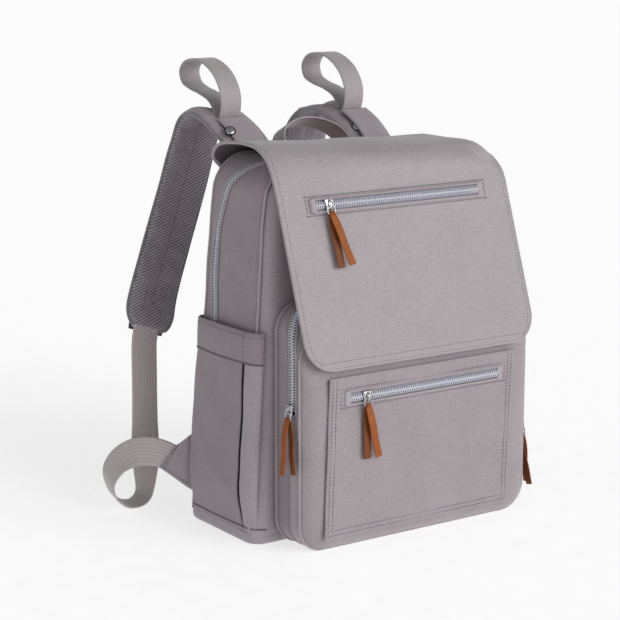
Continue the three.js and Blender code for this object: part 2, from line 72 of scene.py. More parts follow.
def add_sun(name, toward, strength, angle):
    data = bpy.data.lights.new(name, "SUN")
    data.energy = strength
    data.angle = math.radians(angle)
    light = bpy.data.objects.new(name, data)
    light.rotation_euler = (-Vector(toward)).to_track_quat("-Z", "Y").to_euler()
    SCENE.collection.objects.link(light)


def add_world():
    """Soft studio light, brighter round the horizon than overhead."""
    world = bpy.data.worlds.new("studio")
    SCENE.world = world
    world.use_nodes = True
    tree = world.node_tree
    coords = tree.nodes.new("ShaderNodeTexCoord")
    split = tree.nodes.new("ShaderNodeSeparateXYZ")
    ramp = tree.nodes.new("ShaderNodeValToRGB")
    low, high = ramp.color_ramp.elements
    low.position, low.color = 0.32, (0.93, 0.93, 0.93, 1)
    high.position, high.color = 0.55, (0.26, 0.26, 0.26, 1)
    tree.links.new(coords.outputs["Generated"], split.inputs["Vector"])
    tree.links.new(split.outputs["Z"], ramp.inputs["Fac"])
    tree.links.new(ramp.outputs["Color"], tree.nodes["Background"].inputs["Color"])


SCENE.view_settings.view_transform = "Standard"
add_camera()
add_world()
add_sun("key", (0.35, -0.85, 0.30), 2.1, 50)

# ---- materials -----------------------------------------------------------------------------


def srgb(red, green, blue):
    return tuple(((c / 255 + 0.055) / 1.055) ** 2.4 for c in (red, green, blue)) + (1.0,)


class Nodes:
    """A material's node tree, with short calls for the nodes that this scene uses."""

    def __init__(self, name):
        self.material = bpy.data.materials.new(name)
        self.material.use_nodes = True
        self.tree = self.material.node_tree
        self.shader = self.tree.nodes["Principled BSDF"]
        self.coords = self.tree.nodes.new("ShaderNodeTexCoord")

    def fill(self, socket, value):
        """Links another node's output to a socket, or writes a plain value into it."""
        if isinstance(value, bpy.types.NodeSocket):
            self.tree.links.new(value, socket)
        else:
            socket.default_value = value

    def node(self, kind, output, **inputs):
        """One output of a new node; a space in an input's name is written as a low line."""
        node = self.tree.nodes.new(f"ShaderNode{kind}")
        for name, value in inputs.items():
            self.fill(node.inputs[name.replace("_", " ")], value)
        return node.outputs[output]

    def mapped(self, kind, scale):
        return self.node("Mapping", "Vector", Scale=scale, Vector=self.coords.outputs[kind])

    def noise(self, vector, scale, detail=3.0, rough=0.55):
        return self.node("TexNoise", "Fac", Scale=scale, Detail=detail, Roughness=rough,
                         Vector=vector)

    def wave(self, vector, scale, direction, distortion):
        bands = self.node("TexWave", "Fac", Scale=scale, Distortion=distortion, Detail=1.0,
                          Detail_Scale=2.0, Vector=vector)
        bands.node.bands_direction = direction
        return bands

    def voronoi(self, vector, scale):
        return self.node("TexVoronoi", "Distance", Scale=scale, Vector=vector)

    def math(self, operation, first, second=0.0):
        node = self.tree.nodes.new("ShaderNodeMath")
        node.operation = operation
        for socket, value in zip(node.inputs, (first, second)):
            self.fill(socket, value)
        return node.outputs["Value"]

    def weigh(self, *pairs):
        """The sum of values times their weights."""
        total = 0.0
        for number, (value, weight) in enumerate(pairs):
            part = self.math("MULTIPLY", value, weight)
            total = self.math("ADD", total, part) if number else part
        return total

    def ramp(self, factor, stops):
        node = self.tree.nodes.new("ShaderNodeValToRGB")
        elements = node.color_ramp.elements
        while len(elements) < len(stops):
            elements.new(0.5)
        for element, (place, colour) in zip(elements, stops):
            element.position = place
            element.color = colour
        self.fill(node.inputs["Fac"], factor)
        return node.outputs["Color"]

    def bump(self, height, strength, distance, **after):
        return self.node("Bump", "Normal", Strength=strength, Distance=distance, Height=height,
                         **after)

    def spread(self, factor, low, high):
        return self.node("MapRange", "Result", To_Min=low, To_Max=high, Value=factor)

    def finish(self, colour, rough, **sockets):
        for name, value in dict(Base_Color=colour, Roughness=rough, **sockets).items():
            self.fill(self.shader.inputs[name.replace("_", " ")], value)
        return self.material


def bands(pitch):
    """The wave texture's scale that puts its bands `pitch` metres apart."""
    return 1 / pitch / 6.28


def shade(colour, factor):
    return tuple(min(1.0, c * factor) for c in colour[:3]) + (1.0,)


def woven(name, colour, heather=0.2, crumple=0.35, sheen=0.2):
    """Plain-weave polyester: heathered threads, slubs, soft crumples and a faint sheen."""
    n = Nodes(name)
    place = n.coords.outputs["Object"]
    uv = n.mapped("UV", (1, 1, 1))
    warp = n.wave(uv, 290.0, "X", 0.6)
    weft = n.wave(uv, 290.0, "Y", 0.6)
    threads = n.math("MULTIPLY", warp, weft)
    grain = n.noise(place, 800.0, 2.0, 0.7)
    slubs = n.noise(n.mapped("UV", (90, 900, 1)), 1.0, 4.0)
    slubs_across = n.noise(n.mapped("UV", (900, 110, 1)), 1.0, 4.0)
    cloud = n.noise(place, 26.0, 3.0)
    tone = n.weigh((slubs, 0.25), (slubs_across, 0.2), (cloud, 0.12), (grain, 0.43))
    base = n.ramp(tone, [(0.36, shade(colour, 1 - heather)), (0.64, shade(colour, 1 + heather))])
    soft = n.noise(place, 17.0, 2.0)
    normal = n.bump(soft, crumple, 0.004)
    normal = n.bump(threads, 0.35, 0.0002, Normal=normal)
    return n.finish(base, n.spread(tone, 0.55, 0.8), Normal=normal, Sheen_Weight=sheen,
                    Sheen_Roughness=0.45, Specular_IOR_Level=0.35)


def air_mesh(name, colour):
    """Spacer mesh: raised slanted rows, broken into small holes by a second slant."""
    n = Nodes(name)
    across = n.node("SeparateXYZ", "X", Vector=n.mapped("UV", (1, 1, 1)))
    along = across.node.outputs["Y"]
    slant = n.math("ADD", along, n.math("MULTIPLY", across, 0.8))
    counter = n.math("SUBTRACT", along, n.math("MULTIPLY", across, 1.3))
    rows = n.math("SINE", n.math("MULTIPLY", slant, 6.283 / 0.0036))
    holes = n.math("SINE", n.math("MULTIPLY", counter, 6.283 / 0.0040))
    cloud = n.noise(n.coords.outputs["Object"], 500.0, 3.0)
    tone = n.math("ADD", n.weigh((rows, 0.32), (holes, 0.16), (cloud, 0.4)), 0.3)
    base = n.ramp(tone, [(0.12, shade(colour, 0.42)), (0.5, colour), (0.88, shade(colour, 1.75))])
    return n.finish(base, n.spread(tone, 0.75, 0.92), Normal=n.bump(tone, 0.8, 0.0008),
                    Sheen_Weight=0.15, Sheen_Roughness=0.5)


def ribbed(name, colour, pitch=0.0018):
    """Webbing: ribs along its length with fine cross threads."""
    n = Nodes(name)
    uv = n.mapped("UV", (1, 1, 1))
    ribs = n.wave(uv, bands(pitch), "X", 0.15)
    picks = n.wave(uv, bands(0.0011), "Y", 0.3)
    both = n.weigh((ribs, 0.65), (picks, 0.35))
    fuzz = n.noise(n.mapped("UV", (700, 160, 1)), 1.0, 4.0)
    tone = n.weigh((both, 0.5), (fuzz, 0.5))
    base = n.ramp(tone, [(0.25, shade(colour, 0.82)), (0.7, shade(colour, 1.1))])
    return n.finish(base, n.spread(tone, 0.6, 0.82), Normal=n.bump(both, 0.55, 0.0005),
                    Sheen_Weight=0.3, Sheen_Roughness=0.4)


def tape_cloth(name, colour):
    """Zip tape: fine cross bands with a mottled tone."""
    n = Nodes(name)
    uv = n.mapped("UV", (1, 1, 1))
    chevron = n.wave(uv, bands(0.0008), "Y", 0.5)
    grain = n.noise(n.mapped("UV", (1200, 300, 1)), 1.0, 3.0)
    tone = n.weigh((chevron, 0.4), (grain, 0.6))
    base = n.ramp(tone, [(0.25, shade(colour, 0.88)), (0.75, shade(colour, 1.1))])
    return n.finish(base, n.spread(tone, 0.6, 0.8), Normal=n.bump(tone, 0.4, 0.0003),
                    Sheen_Weight=0.2)


def moulded(name, colour, rough=0.35):
    n = Nodes(name)
    grain = n.noise(n.coords.outputs["Object"], 900.0, 2.0)
    base = n.ramp(grain, [(0.3, shade(colour, 0.93)), (0.7, shade(colour, 1.06))])
    return n.finish(base, n.spread(grain, rough - 0.08, rough + 0.1),
                    Normal=n.bump(grain, 0.15, 0.0002), Specular_IOR_Level=0.5)


def metal(name, colour, rough=0.28):
    n = Nodes(name)
    wear = n.noise(n.coords.outputs["Object"], 520.0, 4.0, 0.7)
    brushed = n.noise(n.mapped("Object", (200, 200, 2600)), 1.0, 2.0)
    base = n.ramp(wear, [(0.35, shade(colour, 0.8)), (0.62, shade(colour, 1.08))])
    return n.finish(base, n.spread(wear, rough - 0.1, rough + 0.16),
                    Normal=n.bump(brushed, 0.12, 0.0002), Metallic=1.0)


def leather(name, colour):
    n = Nodes(name)
    cells = n.voronoi(n.coords.outputs["Object"], 900.0)
    grain = n.noise(n.coords.outputs["Object"], 300.0, 5.0, 0.65)
    blotch = n.noise(n.coords.outputs["Object"], 70.0, 3.0)
    tone = n.weigh((grain, 0.55), (blotch, 0.45))
    base = n.ramp(tone, [(0.3, shade(colour, 0.72)), (0.52, colour), (0.72, shade(colour, 1.25))])
    height = n.weigh((cells, 0.6), (grain, 0.4))
    return n.finish(base, n.spread(tone, 0.48, 0.7), Normal=n.bump(height, 0.5, 0.0004),
                    Specular_IOR_Level=0.3)


CLOTH = woven("fabric", srgb(150, 140, 145))
CLOTH_FLAP = woven("fabric_flap", srgb(152, 145, 148), crumple=0.3)
# darker, pinker copy of the fabric for the sides, gussets and side pockets: painted shade, as those
# faces lie in shade
CLOTH_PAINTED_SHADE = woven("fabric_side", srgb(134, 122, 128))
# slightly darker copy of the fabric for the pocket front and patch: painted shade on the pocket's
# face
POCKET_CLOTH_SHADED = woven("pocket_fabric_painted_shade", srgb(142, 133, 137))
CLOTH_WELT = woven("fabric_welt", srgb(154, 146, 150), heather=0.12, crumple=0.1)
LINING = woven("lining", srgb(84, 77, 82), heather=0.1, sheen=0.1)
MESH = air_mesh("air_mesh", srgb(132, 125, 133))
BINDING = ribbed("binding", srgb(126, 118, 124), 0.0012)
WEBBING = ribbed("webbing", srgb(174, 165, 166))
LOOP_WEB = ribbed("loop_webbing", srgb(156, 148, 150), 0.0016)
# darker, pinker copy of the loop webbing for the handle's underside: painted shade under the handle
PAINTED_SHADE_UNDER_HANDLE = ribbed("painted_shade_under_handle", srgb(104, 86, 84), 0.0016)
TAPE = tape_cloth("zip_tape", srgb(134, 132, 144))
TEETH = moulded("zip_teeth", srgb(190, 191, 201))
THREAD = moulded("thread", srgb(92, 84, 89), 0.6)
STEEL = metal("steel", srgb(186, 184, 186))
DARK_STEEL = metal("dark_steel", srgb(60, 56, 60))
LEATHER = leather("leather", srgb(138, 72, 20))
# darker copy of the leather for the rear leaf of each pull: painted shade on that leaf
LEATHER_SHADE = leather("leather_painted_shade", srgb(108, 56, 16))
BOARD = moulded("board", srgb(70, 68, 74), 0.6)
DARK_PLASTIC = moulded("dark_plastic", srgb(58, 50, 52), 0.45)

# ---- mesh helpers (millimetres in, metres out) ---------------------------------------------


def smoothstep(t):
    t = np.clip(t, 0.0, 1.0)
    return t * t * (3 - 2 * t)


def unit(v):
    return v / np.maximum(np.linalg.norm(v, axis=-1, keepdims=True), 1e-9)


def write_uv(mesh, uv):
    """A UV map from one place, in millimetres, for each vertex."""
    layer = mesh.uv_layers.new(name="UVMap")
    corner = np.zeros(len(mesh.loops), int)
    mesh.loops.foreach_get("vertex_index", corner)
    layer.data.foreach_set("uv", (np.asarray(uv, float)[corner] * MM).ravel())


def make(name, verts, faces, material, uv=None):
    mesh = bpy.data.meshes.new(name)
    mesh.from_pydata((np.asarray(verts, float) * MM).tolist(), [], faces)
    if uv is not None:
        write_uv(mesh, uv)
    for one in material if isinstance(material, (list, tuple)) else [material]:
        mesh.materials.append(one)
    mesh.shade_smooth()
    obj = bpy.data.objects.new(name, mesh)
    SCENE.collection.objects.link(obj)
    return obj


def attach(obj, place, stands_for=()):
    """Rides on a body when place is its name; when place is (body, body, start, end), its transform
    is only baked into its mesh.
    """
    if isinstance(place, str):
        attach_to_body(obj, place)
    else:
        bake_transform(obj)
    if stands_for:
        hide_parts(*stands_for)
    return obj


def lengths(points):
    gaps = np.linalg.norm(np.diff(points, axis=0), axis=1)
    return np.concatenate([[0.0], np.cumsum(gaps)])


def resample(points, count):
    points = np.asarray(points, float)
    along = lengths(points)
    where = np.linspace(0, along[-1], count)
    return np.stack([np.interp(where, along, points[:, k]) for k in range(points.shape[1])], 1)


def curve(points, count, fine=24):
    """Evenly spaced points on the smooth centripetal curve through the given ones."""
    p = np.asarray(points, float)
    p = np.vstack([2 * p[0] - p[1], p, 2 * p[-1] - p[-2]])
    out = []
    for i in range(1, len(p) - 2):
        a, b, c, d = p[i - 1:i + 3]
        t0, t1, t2 = (max(np.linalg.norm(q - r), 1e-6) ** 0.5 for q, r in ((b, a), (c, b), (d, c)))
        m0 = ((b - a) / t0 - (c - a) / (t0 + t1) + (c - b) / t1) * t1
        m1 = ((c - b) / t1 - (d - b) / (t1 + t2) + (d - c) / t2) * t1
        s = np.linspace(0, 1, fine, endpoint=False)[:, None]
        out.append((2 * s**3 - 3 * s**2 + 1) * b + (s**3 - 2 * s**2 + s) * m0
                   + (3 * s**2 - 2 * s**3) * c + (s**3 - s**2) * m1)
    out.append(p[-2:-1])
    return resample(np.vstack(out), count)


def grid_normals(P):
    return unit(np.cross(np.gradient(P, axis=0), np.gradient(P, axis=1)))


def grid_uv(P):
    du = np.linalg.norm(np.diff(P, axis=1), axis=2)
    dv = np.linalg.norm(np.diff(P, axis=0), axis=2)
    u = np.concatenate([np.zeros((P.shape[0], 1)), np.cumsum(du, 1)], 1)
    u -= u[:, P.shape[1] // 2][:, None]
    v = np.concatenate([[0.0], np.cumsum(np.median(dv, axis=1))])
    return np.stack([u, np.broadcast_to(v[:, None], u.shape)], 2)


def quads(rows, columns, start=0, flip=False, closed=False):
    faces = []
    for i in range(rows - 1):
        for j in range(columns if closed else columns - 1):
            k = (j + 1) % columns
            face = (start + i * columns + j, start + i * columns + k,
                    start + (i + 1) * columns + k, start + (i + 1) * columns + j)
            faces.append(face[::-1] if flip else face)
    return faces


# a point inside the bag: the outer face of every panel looks away from it
MIDDLE = np.array([0.0, 10.0, 190.0])


def perimeter(rows, columns):
    """Vertex numbers of a grid's four sides: first row, last column, last row, first column."""
    return [list(range(columns)),
            [i * columns + columns - 1 for i in range(rows)],
            [(rows - 1) * columns + j for j in range(columns - 1, -1, -1)],
            [i * columns for i in range(rows - 1, -1, -1)]]


def sheet(name, P, thick, material, open_sides="", inside=None, uv=None):
    """A fabric panel: the grid P is its outer face, its inner face is `thick` behind it.

    Sides in open_sides, from b (first row), r (last column), t (last row) and l (first
    column), get no hem."""
    rows, columns = P.shape[:2]
    normal = grid_normals(P)
    if np.mean(np.sum(normal * (P - MIDDLE), axis=2)) < 0:
        P = P[:, ::-1]
        normal = -normal[:, ::-1]
        uv = None if uv is None else uv[:, ::-1]
        open_sides = open_sides.translate(str.maketrans("lr", "rl"))
    inner = P - normal * thick
    flat = P.reshape(-1, 3)
    verts = [flat, inner.reshape(-1, 3)]
    count = rows * columns
    faces = quads(rows, columns) + quads(rows, columns, count, flip=True)
    uvs = grid_uv(P).reshape(-1, 2) if uv is None else uv.reshape(-1, 2)
    coords = [uvs, uvs]
    outward = np.zeros_like(P)
    outward[0] -= unit(P[1] - P[0])
    outward[-1] += unit(P[-1] - P[-2])
    outward[:, 0] -= unit(P[:, 1] - P[:, 0])
    outward[:, -1] += unit(P[:, -1] - P[:, -2])
    outward = unit(outward).reshape(-1, 3)
    total = 2 * count
    slots = [0] * len(faces)
    if inside is not None:
        slots = [0] * (len(faces) // 2) + [1] * (len(faces) // 2)
    for tag, side in zip("brtl", perimeter(rows, columns)):
        if tag in open_sides:
            continue
        middle = (verts[0][side] + verts[1][side]) / 2 + outward[side] * thick * 0.45
        verts.append(middle)
        coords.append(uvs[side])
        for k in range(len(side) - 1):
            a, b = side[k], side[k + 1]
            faces.append((a, total + k, total + k + 1, b))
            faces.append((total + k, a + count, b + count, total + k + 1))
            slots += [0, 0]
        total += len(side)
    obj = make(name, np.vstack(verts), faces,
               [material] if inside is None else [material, inside], np.vstack(coords))
    obj.data.polygons.foreach_set("material_index", slots)
    return obj


def frames(points, normals):
    """Tangent, side and squared-up normal at every point of a path."""
    tangent = unit(np.gradient(points, axis=0))
    normals = np.asarray(normals, float)
    if normals.ndim == 1:
        normals = np.broadcast_to(normals, points.shape)
    side = unit(np.cross(tangent, normals))
    return tangent, side, np.cross(side, tangent)


def sweep(points, normals, profile, width=None, closed=False):
    """Verts, faces and UVs of a profile, as (side, normal) pairs, carried along a path."""
    points = np.asarray(points, float)
    tangent, side, normal = frames(points, normals)
    profile = np.asarray(profile, float)
    scale = np.ones(len(points)) if width is None else np.asarray(width, float)
    verts = (points[:, None] + side[:, None] * profile[None, :, 0, None] * scale[:, None, None]
             + normal[:, None] * profile[None, :, 1, None])
    rows, columns = verts.shape[:2]
    around = lengths(np.vstack([profile, profile[:1]]))[:-1]
    along = lengths(points)
    uv = np.stack(np.broadcast_arrays(around[None, :], along[:, None]), 2)
    faces = quads(rows, columns, flip=True, closed=True)
    flat = verts.reshape(-1, 3)
    if not closed:
        faces.append(tuple(range(columns)))
        faces.append(tuple(range((rows - 1) * columns, rows * columns))[::-1])
    return flat, faces, uv.reshape(-1, 2)


def round_profile(radius, count=8, flatten=1.0):
    angle = np.linspace(0, 2 * math.pi, count, endpoint=False)
    return np.stack([radius * np.cos(angle), radius * flatten * np.sin(angle)], 1)


def flat_profile(width, thick, across=8):
    """A thin rounded band section, with slightly thicker selvedges."""
    x = np.linspace(-width / 2 + thick / 2, width / 2 - thick / 2, across)
    top = np.stack([x, np.full(across, thick / 2)], 1)
    bottom = np.stack([x[::-1], np.full(across, -thick / 2)], 1)
    right = [[width / 2 - thick * 0.12, thick * 0.3], [width / 2, 0],
             [width / 2 - thick * 0.12, -thick * 0.3]]
    left = [[-a, -b] for a, b in right]
    return np.vstack([top, right, bottom, left])


def ribbon(name, points, normals, width, thick, material, scale=None, across=8):
    """A band along a path; a second material, if given, is for the face away from the normal."""
    verts, faces, uv = sweep(points, normals, flat_profile(width, thick, across), scale)
    obj = make(name, verts, faces, material, uv)
    if isinstance(material, tuple):
        columns = 2 * across + 6
        under = [int(across + 2 <= k % columns < 2 * across + 3) for k in range(len(faces))]
        obj.data.polygons.foreach_set("material_index", under)
    return obj


def tube(name, points, radius, material, normals=(0.03, 0.02, 1), sides=8, flatten=1.0,
         closed=False):
    points = np.asarray(points, float)
    normals = np.asarray(normals, float)
    if closed:
        points = np.vstack([points, points[:1]])
        if normals.ndim == 2:
            normals = np.vstack([normals, normals[:1]])
    verts, faces, uv = sweep(points, normals, round_profile(radius, sides, flatten), None, closed)
    return make(name, verts, faces, material, uv)


def template(kind, size, detail=1):
    """Verts and faces of a small rounded piece, centred, to be copied along a line."""
    bm = bmesh.new()
    if kind == "block":
        bmesh.ops.create_cube(bm, size=1.0)
        bmesh.ops.scale(bm, vec=size, verts=bm.verts)
        bmesh.ops.bevel(bm, geom=bm.edges, offset=min(size) * 0.28, segments=detail,
                        affect="EDGES", profile=0.6)
    else:
        bmesh.ops.create_uvsphere(bm, u_segments=6, v_segments=4, radius=0.5)
        bmesh.ops.rotate(bm, matrix=Matrix.Rotation(math.pi / 2, 3, "Y"), verts=bm.verts)
        bmesh.ops.scale(bm, vec=size, verts=bm.verts)
    bm.verts.index_update()
    verts = np.array([v.co for v in bm.verts], float)
    faces = [[v.index for v in f.verts] for f in bm.faces]
    bm.free()
    return verts, faces


def copies(piece, points, tangent, side, normal, shift=(0, 0, 0)):
    """The template at every point: its X along the line, Y to the side, Z along the normal."""
    verts, faces = piece
    local = verts + np.asarray(shift, float)
    placed = (points[:, None] + tangent[:, None] * local[None, :, 0, None]
              + side[:, None] * local[None, :, 1, None]
              + normal[:, None] * local[None, :, 2, None])
    count = len(verts)
    every = [[k * count + i for i in face] for k in range(len(points)) for face in faces]
    return placed.reshape(-1, 3), every


def joined(parts):
    verts, faces, total = [], [], 0
    for v, f in parts:
        verts.append(v)
        faces += [[i + total for i in face] for face in f]
        total += len(v)
    return np.vstack(verts), faces


STITCH = template("ball", (2.6, 0.75, 0.5))


def stitches(name, lines, place, pitch=3.6):
    """Rows of topstitching along lines, each given as points and normals on the cloth."""
    parts = []
    for points, normals in lines:
        points = np.asarray(points, float)
        total = lengths(points)[-1]
        count = max(int(total / pitch), 3)
        both = resample(np.hstack([points, np.broadcast_to(normals, points.shape)]), count)
        tangent, side, normal = frames(both[:, :3], unit(both[:, 3:]))
        parts.append(copies(STITCH, both[:, :3], tangent, side, normal, (0, 0, 0.12)))
    verts, faces = joined(parts)
    return attach(make(name, verts, faces, THREAD), place)


# along the zip, across it and through it
TOOTH = template("block", (1.35, 4.3, 1.9), 1)


def zip_teeth(name, points, normals, hand, place, pitch=2.7):
    """Moulded teeth of one half of a zip; the other half's teeth sit between them."""
    points = np.asarray(points, float)
    known = lengths(points)
    shift = 0.0 if hand > 0 else pitch / 2
    along = np.arange(int(known[-1] / pitch)) * pitch + shift + 0.4
    both = np.hstack([points, np.broadcast_to(normals, points.shape)])
    at = np.stack([np.interp(along, known, both[:, k]) for k in range(6)], 1)
    ahead = np.stack([np.interp(along + 0.5, known, points[:, k]) for k in range(3)], 1)
    behind = np.stack([np.interp(along - 0.5, known, points[:, k]) for k in range(3)], 1)
    tangent = unit(ahead - behind)
    side = unit(np.cross(tangent, unit(at[:, 3:])))
    normal = np.cross(side, tangent)
    verts, faces = copies(TOOTH, at[:, :3], tangent, side, normal, (0, 1.25 * hand, 0.35))
    return attach(make(name, verts, faces, TEETH), place)


# ---- the shape of the bag ------------------------------------------------------------------

# the stiff base's height, where the round upper corners begin, and their radius
BASE_TOP = 12.0
SHOULDER = 339.0
TOP = 375.0
FRONT = -50.0
FRONT_SEAM = -40.0
SIDE_BULGE = 4.5
SHOULDER_ROUND = 36.0
BACK_ROUND = 16.0
# the cloth of the sides and top ends that far ahead of the back
BACK_LAP = 10.8
# half of the gap that a zip lies in
ZIP_GAP = 4.5
# the main zip's lower ends, and its (depth, height) up the side and over the top
ZIP_LOW = 206.0
ZIP_PATH = curve([[31, 176], [35, 240], [34, 290], [28, 321], [17, 347], [0, 365],
                  [-22, 377], [-50, 388]], 200)


def half_width(z):
    return 165 - 23 * z / TOP


def back_at(z):
    return 76 - 18 * np.minimum(z, TOP) / TOP


def front_round(z):
    """Radius of the bag's front edge."""
    return 16 + 8 * smoothstep((z - 300) / 70)


def zip_depth(z):
    return np.interp(z, ZIP_PATH[:, 1], ZIP_PATH[:, 0])


def outline(low, step=3.0):
    """The bag's front-view outline from the left side's height `low` over the top to the right."""
    z = np.arange(low, SHOULDER + 0.01, (SHOULDER - low) / round((SHOULDER - low) / step))
    up = np.stack([-half_width(z), z], 1)
    centre = np.array([-half_width(SHOULDER) + SHOULDER_ROUND, SHOULDER])
    angle = np.radians(np.linspace(180, 90, 20))[1:]
    arc = centre + SHOULDER_ROUND * np.stack([np.cos(angle), np.sin(angle)], 1)
    half = np.vstack([up, arc])
    across = np.linspace(half[-1, 0], 0, 36)[1:]
    half = np.vstack([half, np.stack([across, np.full(len(across), TOP)], 1)])
    mirrored = half[-2::-1] * [-1, 1]
    points = np.vstack([half, mirrored])
    tangent = unit(np.gradient(points, axis=0))
    normals = np.stack([-tangent[:, 1], tangent[:, 0]], 1)
    return points, normals


def skin(p, n, y, off=0.0):
    """A point on the bag's sides or top: outline point p with normal n, at depth y."""
    z = p[..., 1]
    back = back_at(z)
    radius = front_round(z)
    s_front = np.clip((FRONT + radius - y) / radius, 0, 0.995)
    s_back = np.clip((y - (back - BACK_ROUND)) / BACK_ROUND, 0, 0.995)
    inset = (radius * (1 - np.sqrt(1 - s_front**2))
             + BACK_ROUND * (1 - np.sqrt(1 - s_back**2)))
    lean = s_back - s_front
    depth = np.clip((y - FRONT) / (back - FRONT), 0, 1)
    swell = SIDE_BULGE * np.sin(math.pi * depth) ** 0.8
    swell = swell * smoothstep(z / 60) * (0.75 + 0.25 * smoothstep((z - 150) / 120))
    swell = swell * (1 - 0.85 * smoothstep((z - 345) / 30))
    wobble = 0.5 * np.sin(z * 0.045 + y * 0.03) + 0.35 * np.sin(z * 0.11 - y * 0.07 + 1.0)
    out = (off + swell + wobble * smoothstep(depth * 6) * smoothstep((1 - depth) * 6)) \
        * np.sqrt(1 - lean**2) - inset
    return np.stack([p[..., 0] + n[..., 0] * out, y + lean * off, z + n[..., 1] * out], -1)


def ribbon_grid(p, n, front, back, columns, off=0.0):
    """Grid over the outline: rows along it, columns from depth `front` to `back`."""
    share = np.linspace(0, 1, columns)[None, :]
    front = np.broadcast_to(front, len(p))[:, None]
    back = np.broadcast_to(back, len(p))[:, None]
    y = front + (back - front) * share
    P = np.broadcast_to(p[:, None], (len(p), columns, 2))
    N = np.broadcast_to(n[:, None], (len(p), columns, 2))
    return skin(P, N, y, off)


def edge_distance(x, z):
    """How far a point of the front or back lies inside the outline."""
    over_x = np.abs(x) - (half_width(z) - SHOULDER_ROUND)
    over_z = z - SHOULDER
    corner = np.hypot(np.maximum(over_x, 0), np.maximum(over_z, 0))
    straight = np.minimum(half_width(z) - np.abs(x), TOP - z)
    return np.where((over_x > 0) & (over_z > 0), SHOULDER_ROUND - corner, straight)


def reach(level, rim):
    """Half the width of the front or back at that height, `rim` inside the outline."""
    if level <= SHOULDER:
        return half_width(level) - rim
    over = level - SHOULDER
    return (half_width(level) - SHOULDER_ROUND
            + math.sqrt(max((SHOULDER_ROUND - rim) ** 2 - over**2, 1)))


def spread_columns(columns, power):
    """Shares from -1 to 1, closer together towards both ends."""
    share = np.linspace(-1, 1, columns)
    return np.sign(share) * (1 - (1 - np.abs(share)) ** power)


def rounded_loop(x0, x1, y0, y1, radius, count):
    """Points round a rectangle with rounded corners; the last step closes it."""
    ring = []
    for cx, cy, start in ((x1 - radius, y0 + radius, -90), (x1 - radius, y1 - radius, 0),
                          (x0 + radius, y1 - radius, 90), (x0 + radius, y0 + radius, 180)):
        for a in np.radians(np.linspace(start, start + 90, 10)):
            ring.append([cx + radius * math.cos(a), cy + radius * math.sin(a)])
    return resample(np.array(ring + ring[:1]), count)[:-1]


def side_line(hand, z):
    """The left (-1) or right (1) edge in front view at heights z, and its normals."""
    points = np.stack([hand * half_width(z), z], 1)
    return points, np.broadcast_to(np.array([hand * 0.998, 0.061]), points.shape)


def face_grid(z, columns):
    """Grid over the bag's front: rows at heights z, from seam to seam."""
    share = spread_columns(columns, 1.5)
    seam_depth = FRONT_SEAM - FRONT
    rows = []
    for level in z:
        radius = float(front_round(level))
        rim = radius - math.sqrt(radius**2 - (radius - seam_depth) ** 2)
        x = share * reach(level, rim)
        distance = np.clip(edge_distance(x, level), 0, radius)
        inset = radius - np.sqrt(np.maximum(radius**2 - (radius - distance) ** 2, 0))
        swell = 2.0 * np.sin(math.pi * np.clip(level / TOP, 0, 1)) * (1 - share**2) ** 0.5
        rows.append(np.stack([x, FRONT + inset - swell, np.full(columns, level)], 1))
    return np.array(rows)


MAIN = ("bag", "main_front", (0, -0.05, 0.246), (0, -0.05, 0.266))


